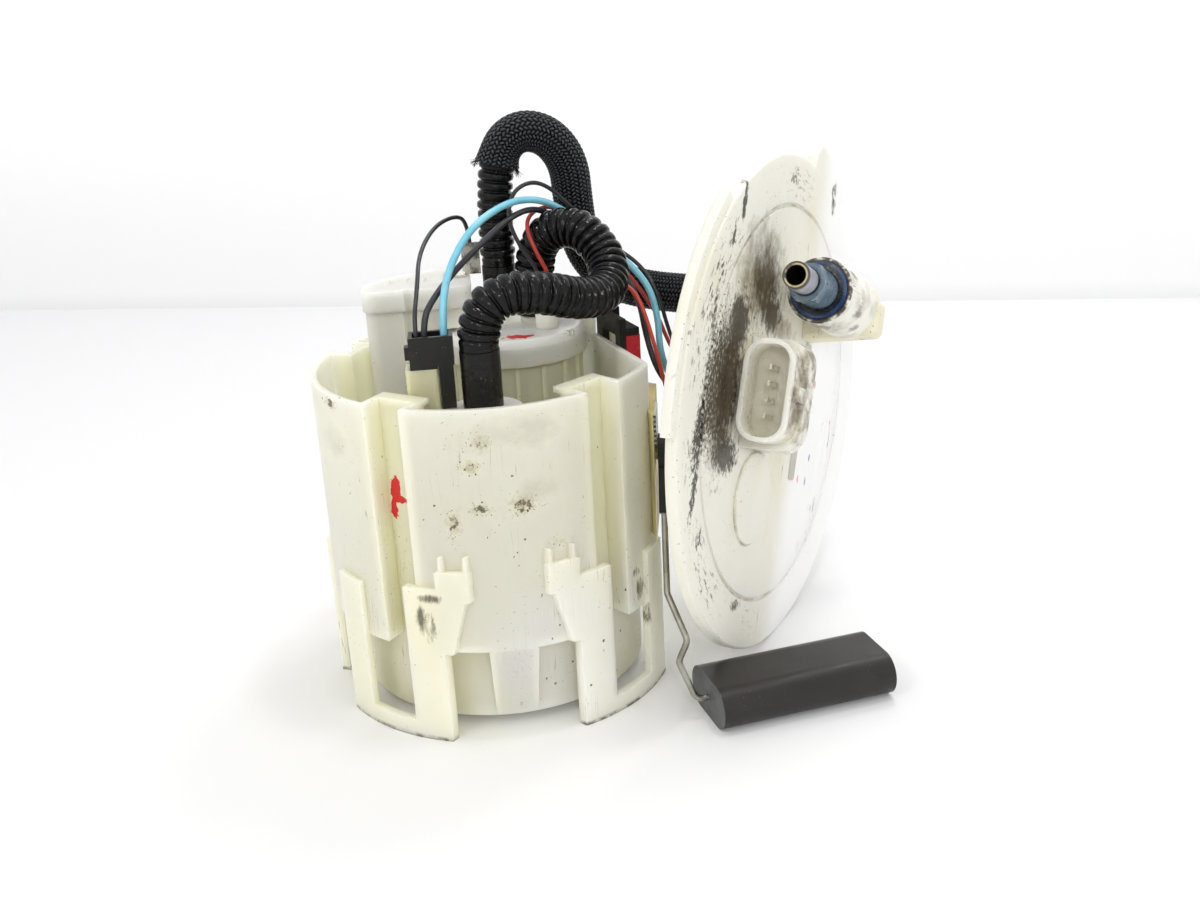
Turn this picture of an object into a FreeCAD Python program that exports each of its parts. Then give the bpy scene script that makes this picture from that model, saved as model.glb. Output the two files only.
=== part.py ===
"""Fuel delivery module taken out of a car's tank.

Frame: the swirl pot's axis is Z and its clip feet stand on z = 0. The pot's front is at -Y. The round
tank cover stands on its edge at the pot's right and leans on nothing: hoses and wires join the two.
"""
import FreeCAD
import Part
import os
from math import acos, asin, cos, degrees, pi, radians, sin, tan

Vector = FreeCAD.Vector

# Swirl pot
pot_radius = 56.0
pot_height = 110.0
pot_wall = 2.0
body_inset = 8.0
body_radius = pot_radius - body_inset
skirt_level = 31.0
floor_level = 4.0
floor_thickness = 2.0
mirror_azimuth = -87.5
channel_half = 6.5
channel_turn = 6.5
channel_ledge = 3.5
pad_half_turn = 8.0
flat_azimuth = 16.5
flat_inset = 12.4
flat_distance = pot_radius - flat_inset
flat_rise = 8.0
flat_rise_start = 8.0
flat_rise_end = 28.0

# Clip frames that latch the pot into the tank
clip_azimuths = (-131.0, -44.0, 80.0, 158.0)
clip_sides = (1, -1, 1, -1)
clip_root = 0.8
clip_stand = 2.0
clip_inner_radius = pot_radius - clip_root
clip_outer_radius = pot_radius + clip_stand
clip_half = 21.5
clip_window_half = 9.4
clip_foot = 6.0
clip_plate_top = 53.0
clip_gusset_top = 62.0
clip_gusset_reach = 8.5
clip_rib = 1.5

# Inlet valve in the pot's floor
inlet_x = -20.0
inlet_y = -6.0
inlet_flap_radius = 8.0
inlet_flap_thickness = 1.2
inlet_stem_radius = 1.5
inlet_hole_radius = 1.6
inlet_hole_circle = 4.6
inlet_hole_count = 6
inlet_lift = 1.5

# Electric pump and the sleeve that holds it
pump_x = 10.8
pump_y = 17.5
pump_radius = 19.0
can_wall = 0.8
can_bottom = 13.0
can_depth = 12.0
can_top = pot_height - can_depth
holder_bore = 20.3
holder_wall = 1.7
holder_rib_height = 1.3
holder_rib_width = 1.3
holder_rib_count = 16
holder_top = pot_height
holder_foot_radius = 23.2
holder_foot = 2.0
holder_window_half = 4.0
holder_window_top = 18.0
isolator_height = 6.0
shaft_radius = 2.0
running_gap = 0.05
magnet_inner_radius = 13.0
magnet_half_turn = 62.0
armature_radius = 11.6
armature_slots = 8
armature_slot_half = 0.9
outlet_cover_depth = 17.0
outlet_cover_lip = 2.0
outlet_cover_bottom = can_top - outlet_cover_depth
outlet_cover_rim = can_top + outlet_cover_lip
commutator_radius = 6.5
commutator_length = 7.0
commutator_gap = 3.0
commutator_top = outlet_cover_bottom - commutator_gap
commutator_bottom = commutator_top - commutator_length
winding_height = 4.0
armature_bottom = 34.0
armature_top = commutator_bottom - winding_height
brush_width = 4.0
impeller_radius = 14.0
impeller_thickness = 3.0
impeller_vanes = 24
impeller_side_gap = 0.3
chamber_floor = 17.0
pump_outlet_offset = 8.0
pump_outlet_radius = 4.0
pump_outlet_length = 6.0
pump_outlet_top = outlet_cover_rim + pump_outlet_length

# Cap over the pump
cap_radius = 25.0
cap_wall = 1.6
cap_overlap = 2.5
cap_rise = 5.5
cap_skirt_bottom = holder_top - cap_overlap
cap_top = holder_top + cap_rise
cap_rim = 1.2
cap_chamfer = 1.6
cap_boss_radius = 5.6
cap_boss_height = 2.5
cap_nub_x = 22.4
cap_nub_y = 12.4
cap_nub_radius = 3.8
cap_nub_height = 5.5

# Hoses and the smooth cuffs on their ends
nipple_radius = 4.0
nipple_bore = 2.6
cuff_radius = 6.2
cuff_gap = 0.05
transfer_radius = 6.0
feed_radius = 5.6
sleeve_radius = 6.85
sleeve_gap = 0.25
sleeve_start = 58.0
front_nipple_x = -0.8
front_nipple_inset = 23.0
nipple_shift = 2.5
front_nipple_y = front_nipple_inset - pot_radius
rear_nipple_x = 19.5
rear_nipple_y = 22.5
feed_nipple_x = 7.9
feed_nipple_y = 30.0
regulator_drop = 6.0
regulator_top = pot_height - regulator_drop
front_cuff_length = 18.0
front_cuff_top = regulator_top + front_cuff_length
rear_cuff_length = 7.0
rear_cuff_top = cap_top + cap_boss_height + rear_cuff_length
feed_cuff_length = 9.0
feed_cuff_radius = 5.8
nipple_short = 4.0

# Filter
filter_left = -38.0
filter_right = -3.0
filter_front = 14.0
filter_inset = 10.6
filter_radius = pot_radius - filter_inset
filter_gap = 1.4
filter_bottom = 6.0
filter_rise = 14.0
filter_lid_height = 7.0
filter_split = pot_height + filter_rise
filter_top = filter_split + filter_lid_height
filter_wall = 1.8
filter_corner = 4.0
filter_lid_lip = 0.8
filter_fold_x = -23.0
filter_fold_radius = 2.4
filter_slot_front = 24.0
filter_slot_back = 33.0
duct_drop = 4.1
duct_radius = 3.9
duct_level = filter_split - duct_drop
riser_height = 5.1
feed_cuff_bottom = duct_level + riser_height
feed_cuff_top = feed_cuff_bottom + feed_cuff_length

# Pressure regulator tower
regulator_y = front_nipple_y - nipple_shift
regulator_disc_radius = 12.4
regulator_column_radius = 10.5
regulator_bottom = 6.0
regulator_disc = 3.0
regulator_bore = 7.6
regulator_depth = 42.0
regulator_floor = regulator_top - regulator_depth
regulator_can_wall = 0.8
regulator_can_height = 26.0
regulator_valve_radius = 3.0

# Jet pump at the pot's floor
jet_y = -20.0
jet_level = 12.0
jet_left = -38.0
jet_right = -26.0
jet_radius = 4.5
jet_throat = 1.8

# Connector tower, its plug and the ground blade
tower_left = -23.6
tower_right = -13.8
tower_inset = 21.5
tower_depth = 8.5
tower_rise = 7.0
tower_front = tower_inset - pot_radius
tower_back = tower_front + tower_depth
tower_top = pot_height + tower_rise
tower_wall = 1.3
tower_shaft = 25.0
plug_right = -8.6
plug_rise = 10.0
plug_top = tower_top + plug_rise
plug_depth = 9.0
plug_wall = 1.2
plug_leg_width = 4.2
plug_leg_depth = 4.0
blade_x = -0.6
blade_y = 32.0
blade_width = 6.3
blade_thickness = 0.8
blade_height = 11.0

# Level sender on the pot's flat
arm_azimuth = -10.0
sender_face = pot_radius
sender_drop = 15.0
sender_height = 43.0
sender_top = pot_height - sender_drop
sender_bottom = sender_top - sender_height
sender_front = 20.0
sender_back = -14.0
sender_flat_front = -30.0
sender_flat_back = 10.0
card_thickness = 0.8
card_gap = 0.3
card_front = 15.0
card_back = 1.0
card_inset = 1.5
card_height = 10.5
card_top = sender_top - card_inset
card_bottom = card_top - card_height
pivot_along = 12.0
pivot_drop = 15.0
pivot_level = sender_top - pivot_drop
arm_drop = 63.0
pivot_radius = 2.5
pivot_length = 4.6
holder_hub_radius = 6.0
holder_arm_width = 5.0
holder_arm_length = 20.0
wire_radius = 1.05
wire_gap = 0.05
bracket_hook = 1.2
bracket_bottom = sender_top
bracket_top = pot_height + flat_rise + bracket_hook
bracket_front = -13.0
bracket_back = 7.5
bracket_thickness = 2.2
bracket_reach = 7.0

# Float
float_azimuth = 12.0
float_x = 63.0
float_inset = 30.2
float_length = 60.0
float_width = 28.0
float_height = 14.0

# Tank cover, measured in its own frame: x and y in its face, z out of it
cover_azimuth = -33.0
cover_turn = 24.0
cover_radius = 84.4
cover_x = 99.42
cover_y = 2.99
float_y = float_inset - cover_radius
cover_thickness = 4.0
cover_band = 19.4
collar_radius = cover_radius - cover_band
cover_groove_inset = 16.9
cover_groove_radius = cover_radius - cover_groove_inset
cover_groove_width = 1.6
cover_groove_depth = 0.8
cover_tab_reach = 4.0
cover_tab_start = 139.0
cover_tab_end = 193.0
cover_lug_reach = 10.2
cover_lug_start = 64.0
cover_lug_end = 86.0
cover_pad_x = -14.4
cover_pad_y = -33.2
cover_pad_radius = 15.5
cover_pad_height = 1.0
collar_wall = 3.0
collar_depth = 11.5
seal_width = 3.6
seal_height = 3.2
seal_recess = 0.5
seal_room = 0.4
under_nipple_x = -12.0
under_nipple_y = 34.0
under_nipple_reach = 20.0
under_cuff_reach = 24.0
under_plug_half_x = 8.0
under_plug_half_y = 11.0
under_plug_depth = 12.0

# Fuel outlet on the cover
outlet_y = 37.4
outlet_height = 14.5
outlet_radius = 11.0
outlet_mouth = -17.0
outlet_back = 18.0
outlet_bore = 9.5
outlet_step = -4.0
outlet_seal_bore = 6.4
outlet_floor = 6.0
outlet_foot_half = 6.0
elbow_start = 14.0
elbow_end = 25.0
elbow_height = 26.0
elbow_top = 3.5
elbow_low = 9.0
elbow_root = 12.5
elbow_round = 2.5
stub_radius = 4.45
stub_neck = 4.0
stub_land = 9.0
stub_bore = 3.2
stub_reach = 25.0
retainer_inner = 6.8
retainer_depth = 5.0
release_radius = 6.5
release_length = 21.0
release_start = -11.0

# Electrical socket on the cover
socket_mouth = -44.1
socket_y = 0.5
socket_height = 10.3
socket_half_y = 16.2
socket_half_z = 8.3
socket_corner = 7.0
socket_wall = 1.5
socket_depth = 9.5
socket_collar = 10.5
socket_base_grow = 1.6
socket_back = -12.0
pin_count = 4
pin_pitch = 5.2
pin_width = 1.6
pin_thickness = 0.8
pin_reach = 7.0
pin_root = 4.0

# Bare label strip
label_x = 23.0
label_width = 5.6
label_length = 49.0
label_thickness = 0.3

# Wires
thick_wire = 1.15
thin_wire = 0.8

# Bends of the wire arm: out from the sender's face, along its plane, level
arm_bends = [
    (2.7, 22.5, 59.0), (3.0, 30.5, 38.2), (9.4, 40.2, 26.2), (6.3, 40.5, 18.8),
]
arm_tail = 4.0
arm_end = 4.2

# Routes of the cords: x, y and the height above the pot's rim
transfer_route = [
    (-0.8, -33.0, 12.0), (-0.8, -33.0, 20.5), (5.5, -32.2, 28.0), (18.5, -28.5, 27.5),
    (32.0, -19.5, 21.5), (42.0, -7.0, 20.5), (43.5, 5.0, 29.0), (35.5, 12.5, 38.5),
    (25.5, 18.5, 37.5), (19.5, 22.5, 28.0), (19.5, 22.5, 15.0),
]
feed_route = [
    (7.9, 30.0, 24.0), (7.9, 30.0, 34.0), (8.2, 30.0, 45.0), (9.2, 30.0, 56.5),
    (12.6, 30.4, 65.5), (20.0, 31.2, 68.9), (28.5, 32.4, 65.6), (34.3, 33.6, 56.5),
    (35.0, 34.3, 44.0), (36.2, 35.3, 32.0), (40.2, 37.2, 21.5), (48.5, 37.5, 13.5),
    (59.5, 34.0, 10.4),
]
blue_route = [
    (-11.2, -30.0, 12.5), (-11.2, -30.0, 23.5), (-8.4, -22.0, 34.6), (-0.5, -11.0, 45.0),
    (11.2, 5.0, 49.2), (21.3, 16.0, 48.2), (30.3, 24.5, 42.9), (40.3, 24.5, 33.7),
    (50.2, 24.0, 24.8), (58.0, 20.0, 16.0), (60.6, 16.5, 5.5), (60.0, 10.5, -5.0),
    (63.0, 12.5, -15.0), (68.5, 18.5, -23.5),
]
black_route = [
    (-17.2, -30.0, 12.5), (-17.2, -30.0, 21.0), (-13.5, -26.0, 27.0), (-6.0, -16.0, 33.2),
    (2.0, -7.0, 38.6), (12.5, 5.5, 44.6), (20.7, 18.5, 44.8), (28.4, 26.5, 39.8),
    (39.5, 25.5, 29.8), (49.0, 21.5, 21.5), (54.3, 16.0, 12.0), (55.4, 10.0, 0.5),
    (58.0, 4.5, -10.5), (64.5, 11.5, -20.5),
]
signal_route = [
    (20.9, 12.4, 11.0), (20.7, 12.4, 18.0), (20.4, 12.6, 25.5), (15.0, 11.5, 33.4),
    (11.6, 12.0, 42.8), (13.8, 14.5, 51.0), (20.6, 20.0, 53.4), (27.3, 25.0, 49.8),
    (35.9, 26.0, 40.3), (46.6, 27.0, 29.0), (57.0, 26.0, 21.0), (61.8, 22.0, 11.5),
    (64.4, 20.8, 0.0), (68.0, 23.0, -11.0),
]
red_route = [
    (24.0, 12.4, 11.0), (24.2, 12.4, 17.0), (24.2, 12.6, 23.0), (20.3, 12.0, 31.0),
    (17.4, 15.0, 39.3), (20.0, 22.0, 42.8), (27.0, 28.3, 43.6), (34.6, 27.1, 37.6),
    (43.4, 27.0, 28.0), (53.5, 22.6, 17.0), (60.4, 19.6, 6.0), (63.4, 15.0, -3.0),
    (67.3, 15.4, -11.5),
]
orange_route = [
    (42.35, 14.6, 9.2), (42.5, 14.5, 13.6), (44.6, 13.1, 18.0), (49.0, 10.2, 19.0),
    (53.0, 7.0, 14.8), (55.4, 4.6, 7.0), (57.4, 2.6, -1.5), (59.4, 1.4, -11.0),
    (61.6, 3.0, -20.5), (65.2, 8.4, -27.5),
]
ground_route = [
    (-19.6, -30.0, 12.5), (-19.8, -30.0, 21.0), (-18.2, -20.0, 29.5), (-17.4, -6.0, 36.8),
    (-12.4, 8.0, 42.6), (-5.6, 20.0, 43.6), (-1.8, 28.0, 40.2), (-1.4, 32.4, 32.1),
]
wire_ports = {"blue": (4.0, 0.0), "black": (-4.0, 0.0), "signal": (4.0, 7.0), "red": (-4.0, 7.0),
              "orange": (-4.0, -7.0)}
wire_lead = 12.0
feed_lead = 10.0


def polar(radius, azimuth, level=0.0):
    """Point at a radius and azimuth from the pot's axis."""
    return Vector(radius * cos(radians(azimuth)), radius * sin(radians(azimuth)), level)


def cylinder(radius, bottom, top, x=0.0, y=0.0):
    """Upright round solid."""
    return Part.makeCylinder(radius, top - bottom, Vector(x, y, bottom))


def ring(inner, outer, bottom, top, x=0.0, y=0.0):
    """Upright tube."""
    return cylinder(outer, bottom, top, x, y).cut(cylinder(inner, bottom - 1, top + 1, x, y))


def block(x0, x1, y0, y1, z0, z1):
    """Box between two corners."""
    return Part.makeBox(x1 - x0, y1 - y0, z1 - z0, Vector(x0, y0, z0))


def arc(radius, start, end):
    """Arc about the origin, counter-clockwise in degrees."""
    middle = (start + end) / 2
    return Part.Arc(polar(radius, start), polar(radius, middle), polar(radius, end)).toShape()


def line(start, end):
    """Straight edge."""
    return Part.LineSegment(start, end).toShape()


def prism(edges, bottom, top):
    """Closed plan outline raised between two levels."""
    face = Part.Face(Part.Wire(edges))
    face.translate(Vector(0, 0, bottom))
    return face.extrude(Vector(0, 0, top - bottom))


def polygon_prism(points, bottom, top):
    """Prism over a list of plan points."""
    corners = [Vector(x, y, 0) for x, y in points]
    edges = [line(corners[i - 1], corners[i]) for i in range(len(corners))]
    return prism(edges, bottom, top)


def sector(inner, outer, start, end, bottom, top):
    """Piece of a tube between two azimuths."""
    edges = [
        arc(outer, start, end),
        line(polar(outer, end), polar(inner, end)),
        arc(inner, start, end),
        line(polar(inner, start), polar(outer, start)),
    ]
    return prism(Part.__sortEdges__(edges), bottom, top)


def rounded_slab(half_x, half_y, corner, bottom, top, x=0.0, y=0.0):
    """Upright slab with rounded corners."""
    slab = block(x - half_x, x + half_x, y - half_y, y + half_y, bottom, top)
    upright = [e for e in slab.Edges if abs(e.tangentAt(e.FirstParameter).z) > 0.99]
    return slab.makeFillet(corner, upright)


def fuse(shapes):
    """One solid of several, with the seams removed."""
    return shapes[0].multiFuse(shapes[1:]).removeSplitter()


def turn_z(shape, azimuth, x=0.0, y=0.0):
    """Copy of a shape turned about an upright axis."""
    copy = shape.copy()
    copy.rotate(Vector(x, y, 0), Vector(0, 0, 1), azimuth)
    return copy


def cord(name, points, radius):
    """Round cord along straight runs joined by tangent arcs, each arc as large as its runs allow."""
    corners = [Vector(*p) for p in points]
    edges = []
    radii = []
    length = 0.0
    start = corners[0]
    for before, corner, after in zip(corners, corners[1:], corners[2:]):
        incoming = corner - before
        outgoing = after - corner
        run = min(incoming.Length, outgoing.Length)
        half_turn = incoming.getAngle(outgoing) / 2
        trim = 0.45 * run
        bend = trim / tan(half_turn)
        incoming.normalize()
        outgoing.normalize()
        first = corner - incoming * trim
        last = corner + outgoing * trim
        inward = outgoing - incoming
        inward.normalize()
        middle = corner + inward * (bend / cos(half_turn) - bend)
        edges.append(line(start, first))
        edges.append(Part.Arc(first, middle, last).toShape())
        length += (first - start).Length + 2 * bend * half_turn
        radii.append(round(bend, 1))
        start = last
    edges.append(line(start, corners[-1]))
    length += (corners[-1] - start).Length
    path = Part.Wire(edges)
    heading = corners[1] - corners[0]
    section = Part.Wire(Part.Circle(corners[0], heading, radius).toShape())
    solid = path.makePipeShell([section], True, False)
    expected = pi * radius ** 2 * length
    print(name, "bend radii", radii, "volume ratio", round(solid.Volume / expected, 4))
    return solid


def above_rim(points):
    """Route points in the part's frame."""
    return [(x, y, pot_height + z) for x, y, z in points]


def pot_outline(grow, outer=pot_radius, inner=body_radius):
    """Plan of the pot's skin: round panels, four channels and the sender's flat."""
    outer_radius = outer + grow
    inner_radius = inner + grow
    half_width = channel_half - grow
    flat = flat_distance + grow
    half_flat = degrees(acos(flat / outer_radius))
    outer_turn = degrees(asin(half_width / outer_radius))
    inner_turn = degrees(asin(half_width / inner_radius))
    centres = [a + s * channel_turn for a, s in zip(clip_azimuths, clip_sides)]
    centres = sorted(c % 360 for c in centres)
    edges = []
    here = flat_azimuth + half_flat
    for centre in centres:
        edges.append(arc(outer_radius, here, centre - outer_turn))
        edges.append(line(polar(outer_radius, centre - outer_turn), polar(inner_radius, centre - inner_turn)))
        edges.append(arc(inner_radius, centre - inner_turn, centre + inner_turn))
        edges.append(line(polar(inner_radius, centre + inner_turn), polar(outer_radius, centre + outer_turn)))
        here = centre + outer_turn
    last = flat_azimuth + 360 - half_flat
    edges.append(arc(outer_radius, here, last))
    edges.append(line(polar(outer_radius, last), polar(outer_radius, flat_azimuth + half_flat)))
    return edges


def radial_prism(points, azimuth):
    """Outline in the tangent plane (across, up) pushed out along a radius and trimmed to the clip ring."""
    inner = clip_inner_radius - 12
    corners = [Vector(inner, across, up) for across, up in points]
    edges = [line(corners[i - 1], corners[i]) for i in range(len(corners))]
    solid = Part.Face(Part.Wire(edges)).extrude(Vector(clip_outer_radius - inner + 1, 0, 0))
    trimmed = solid.common(ring(clip_inner_radius, clip_outer_radius, -1, clip_gusset_top + 10))
    return turn_z(trimmed, azimuth)


def clip_frame(azimuth, side):
    """U-shaped latch frame: a foot band, two uprights, a tapering gusset and two pointed ribs."""
    frame = [
        (-clip_half, 0), (clip_half, 0), (clip_half, clip_plate_top), (clip_window_half, clip_plate_top),
        (clip_window_half, clip_foot), (-clip_window_half, clip_foot),
        (-clip_window_half, clip_plate_top - 3), (-clip_half, clip_plate_top - 3),
    ]
    edge = clip_half
    reach = clip_half + clip_gusset_reach
    gusset = [
        (edge - 1, skirt_level), (edge + 2.5, skirt_level), (reach, clip_plate_top + 2),
        (reach, clip_gusset_top - 3), (edge - 1, clip_gusset_top - 3),
    ]
    pieces = [frame, gusset]
    for across in (edge, reach - clip_rib):
        pieces.append([
            (across, clip_plate_top - 4), (across + clip_rib, clip_plate_top - 4),
            (across + 0.7 * clip_rib, clip_gusset_top + 2), (across + 0.3 * clip_rib, clip_gusset_top + 2),
        ])
    solids = []
    for outline in pieces:
        solids.append(radial_prism([(side * across, up) for across, up in outline], azimuth))
    return fuse(solids)


def make_pot():
    """Stepped bucket with channels, a flat for the sender and four clip frames."""
    floor_top = floor_level + floor_thickness
    upper = prism(pot_outline(0), skirt_level, pot_height)
    lower = prism(pot_outline(0), floor_level, skirt_level + 1)
    lower = lower.common(cylinder(body_radius, floor_level, skirt_level + 1))
    upper_space = prism(pot_outline(-pot_wall), skirt_level + pot_wall, pot_height + 1)
    lower_space = prism(pot_outline(-pot_wall), floor_top, skirt_level + pot_wall + 1)
    lower_space = lower_space.common(cylinder(body_radius - pot_wall, floor_top, skirt_level + pot_wall + 1))
    solids = [upper, lower]
    spaces = [upper_space, lower_space]
    rise = skirt_level - floor_level
    taper = Part.makeCone(body_radius, pot_radius, rise, Vector(0, 0, floor_level))
    inner_taper = Part.makeCone(body_radius - pot_wall, pot_radius - pot_wall, rise,
                                Vector(0, 0, floor_level))
    inset = degrees(pot_wall / pot_radius)
    for azimuth in (mirror_azimuth, mirror_azimuth + 205):
        start = azimuth - pad_half_turn
        end = azimuth + pad_half_turn
        pad = sector(body_radius - 3, pot_radius + 1, start, end, floor_level, skirt_level)
        hollow = sector(body_radius - 4, pot_radius + 1, start + inset, end - inset, floor_top, skirt_level)
        solids.append(pad.common(taper))
        spaces.append(hollow.common(inner_taper))
    for azimuth, side in zip(clip_azimuths, clip_sides):
        solids.append(clip_frame(azimuth, side))
    pot = fuse(solids)
    for space in spaces:
        pot = pot.cut(space)
    extras = []
    for azimuth, side in zip(clip_azimuths[:2], clip_sides):
        centre = azimuth + side * channel_turn
        half = channel_half + pot_wall
        ledge = block(body_radius - pot_wall - channel_ledge, body_radius - 0.5, -half, half,
                      pot_height - pot_wall, pot_height)
        extras.append(turn_z(ledge, centre))
    screen = block(flat_distance - pot_wall, flat_distance, flat_rise_start, flat_rise_end,
                   pot_height - 2, pot_height + flat_rise)
    extras.append(turn_z(screen, flat_azimuth))
    pot = fuse([pot] + extras)
    pot = pot.cut(cylinder(inlet_stem_radius + running_gap, 0, floor_top + 1, inlet_x, inlet_y))
    for i in range(inlet_hole_count):
        turn = 2 * pi * i / inlet_hole_count
        x = inlet_x + inlet_hole_circle * cos(turn)
        y = inlet_y + inlet_hole_circle * sin(turn)
        pot = pot.cut(cylinder(inlet_hole_radius, 0, floor_top + 1, x, y))
    return pot


def make_inlet_valve():
    """Rubber umbrella flap that lets fuel into the pot and holds it there."""
    floor_top = floor_level + floor_thickness
    flap = cylinder(inlet_flap_radius, floor_top, floor_top + inlet_flap_thickness, inlet_x, inlet_y)
    stem = cylinder(inlet_stem_radius, floor_level - inlet_lift, floor_top, inlet_x, inlet_y)
    bulb = cylinder(inlet_stem_radius + 0.8, floor_level - inlet_lift - 1.4, floor_level - inlet_lift,
                    inlet_x, inlet_y)
    dome = Part.makeCone(inlet_flap_radius - 1, 2.5, 1.4,
                         Vector(inlet_x, inlet_y, floor_top + inlet_flap_thickness))
    return fuse([flap, stem, bulb, dome])


def make_pump_holder():
    """Ribbed plastic sleeve that stands on the pot's floor round the pump."""
    bottom = floor_level + floor_thickness
    outer = holder_bore + holder_wall
    solids = [ring(holder_bore, outer, bottom, holder_top)]
    solids.append(ring(holder_bore, holder_foot_radius, bottom, bottom + holder_foot))
    rib = block(outer - 0.5, outer + holder_rib_height, -holder_rib_width / 2, holder_rib_width / 2,
                bottom + holder_foot, cap_skirt_bottom - 1)
    for i in range(holder_rib_count):
        solids.append(turn_z(rib, 360 * i / holder_rib_count))
    holder = fuse(solids)
    reach = 1.5 * holder_bore
    window = block(-reach, reach, -holder_window_half, holder_window_half, bottom + holder_foot,
                   holder_window_top)
    for azimuth in (45, 135):
        holder = holder.cut(turn_z(window, azimuth))
    holder.translate(Vector(pump_x, pump_y, 0))
    return holder


def make_strainer():
    """Fine mesh sock under the pump's inlet."""
    bottom = floor_level + floor_thickness
    pad = cylinder(pump_radius - 2, bottom, bottom + 3.4, pump_x, pump_y)
    rim = pad.makeFillet(1.2, pad.Edges)
    return rim


def make_can():
    """Steel can of the pump, rolled in at both ends."""
    profile = [
        (pump_radius - 2.2, can_bottom), (pump_radius - 0.8, can_bottom), (pump_radius, can_bottom + 0.8),
        (pump_radius, can_top - 0.8), (pump_radius - 0.8, can_top), (pump_radius - 2.2, can_top),
        (pump_radius - 2.2, can_top - can_wall), (pump_radius - can_wall, can_top - can_wall),
        (pump_radius - can_wall, can_bottom + can_wall), (pump_radius - 2.2, can_bottom + can_wall),
    ]
    return revolve(profile, pump_x, pump_y)


def revolve(profile, x=0.0, y=0.0):
    """Solid turned about an upright axis from (radius, level) points."""
    corners = [Vector(r, 0, z) for r, z in profile]
    edges = [line(corners[i - 1], corners[i]) for i in range(len(corners))]
    solid = Part.Face(Part.Wire(edges)).revolve(Vector(0, 0, 0), Vector(0, 0, 1), 360)
    solid.translate(Vector(x, y, 0))
    return solid


def make_inlet_plate():
    """Lower end of the pump with the impeller's chamber and the inlet neck."""
    outer = pump_radius - can_wall
    chamber_top = chamber_floor + impeller_thickness + 2 * impeller_side_gap
    profile = [
        (2.2, floor_level + floor_thickness + 3.4), (5.0, floor_level + floor_thickness + 3.4),
        (5.0, can_bottom - 0.6), (outer - 2.2, can_bottom - 0.6), (outer - 2.2, can_bottom + can_wall),
        (outer, can_bottom + can_wall), (outer, chamber_top), (impeller_radius + 0.6, chamber_top),
        (impeller_radius + 0.6, chamber_floor), (2.2, chamber_floor),
    ]
    return revolve(profile, pump_x, pump_y)


def make_middle_plate():
    """Plate over the impeller with the lower shaft bearing."""
    bottom = chamber_floor + impeller_thickness + 2 * impeller_side_gap
    plate = ring(shaft_radius + running_gap, pump_radius - can_wall, bottom, bottom + 5, pump_x, pump_y)
    port = cylinder(1.8, bottom - 1, bottom + 6, pump_x + impeller_radius - 3.5, pump_y)
    return plate.cut(port)


def make_rotor():
    """Armature, commutator and shaft of the pump's motor."""
    bottom = chamber_floor + impeller_side_gap
    shaft = cylinder(shaft_radius, bottom, outlet_cover_bottom + 6)
    core = cylinder(armature_radius, armature_bottom, armature_top)
    slot = block(armature_radius - 4.5, armature_radius + 1, -armature_slot_half, armature_slot_half,
                 armature_bottom - 1, armature_top + 1)
    for i in range(armature_slots):
        core = core.cut(turn_z(slot, 360 * i / armature_slots))
    winding = Part.makeCone(armature_radius - 2, commutator_radius, 3.5, Vector(0, 0, armature_top))
    commutator = cylinder(commutator_radius, commutator_bottom, commutator_top)
    rotor = fuse([shaft, core, winding, commutator])
    rotor.translate(Vector(pump_x, pump_y, 0))
    return rotor


def make_impeller():
    """Turbine wheel with vanes cut in its rim, pressed on the shaft's foot."""
    bottom = chamber_floor + impeller_side_gap
    wheel = ring(shaft_radius, impeller_radius, bottom, bottom + impeller_thickness)
    notch = block(impeller_radius - 2.2, impeller_radius + 1, -0.55, 0.55, bottom - 1,
                  bottom + impeller_thickness + 1)
    for i in range(impeller_vanes):
        wheel = wheel.cut(turn_z(notch, 360 * i / impeller_vanes))
    wheel.translate(Vector(pump_x, pump_y, 0))
    return wheel


def make_magnets():
    """Two curved magnets inside the can."""
    outer = pump_radius - can_wall
    pair = []
    for azimuth in (0, 180):
        pair.append(sector(magnet_inner_radius, outer, azimuth - magnet_half_turn, azimuth + magnet_half_turn,
                           armature_bottom - 3, armature_top + 2))
    magnets = Part.makeCompound(pair)
    magnets.translate(Vector(pump_x, pump_y, 0))
    return magnets


def make_outlet_cover():
    """Upper end of the pump with the bearing, the brush slots and the outlet neck."""
    outer = pump_radius - can_wall
    top = can_top - can_wall
    body = cylinder(outer, outlet_cover_bottom, top)
    body = body.fuse(cylinder(pump_radius - 2.2, top, outlet_cover_rim))
    neck = cylinder(pump_outlet_radius, outlet_cover_rim, pump_outlet_top, 0, pump_outlet_offset)
    skirt = ring(outer - 2, outer, commutator_bottom - 1, outlet_cover_bottom)
    body = fuse([body, neck, skirt])
    body = body.cut(cylinder(shaft_radius + running_gap, outlet_cover_bottom - 1, outlet_cover_bottom + 7))
    valve_bore = cylinder(2.6, outlet_cover_rim - 8, pump_outlet_top + 1, 0, pump_outlet_offset)
    feed_bore = cylinder(1.5, outlet_cover_bottom - 1, outlet_cover_rim - 7, 0, pump_outlet_offset)
    body = body.cut(valve_bore).cut(feed_bore)
    body.translate(Vector(pump_x, pump_y, 0))
    return body


def make_brushes():
    """Two carbon brushes that bear on the commutator."""
    reach = pump_radius - can_wall - 2.3
    pair = []
    for azimuth in (90, 270):
        brush = block(commutator_radius + running_gap, reach, -brush_width / 2, brush_width / 2,
                      commutator_bottom + 0.6, commutator_top - 0.8)
        pair.append(turn_z(brush, azimuth))
    brushes = Part.makeCompound(pair)
    brushes.translate(Vector(pump_x, pump_y, 0))
    return brushes


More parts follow.
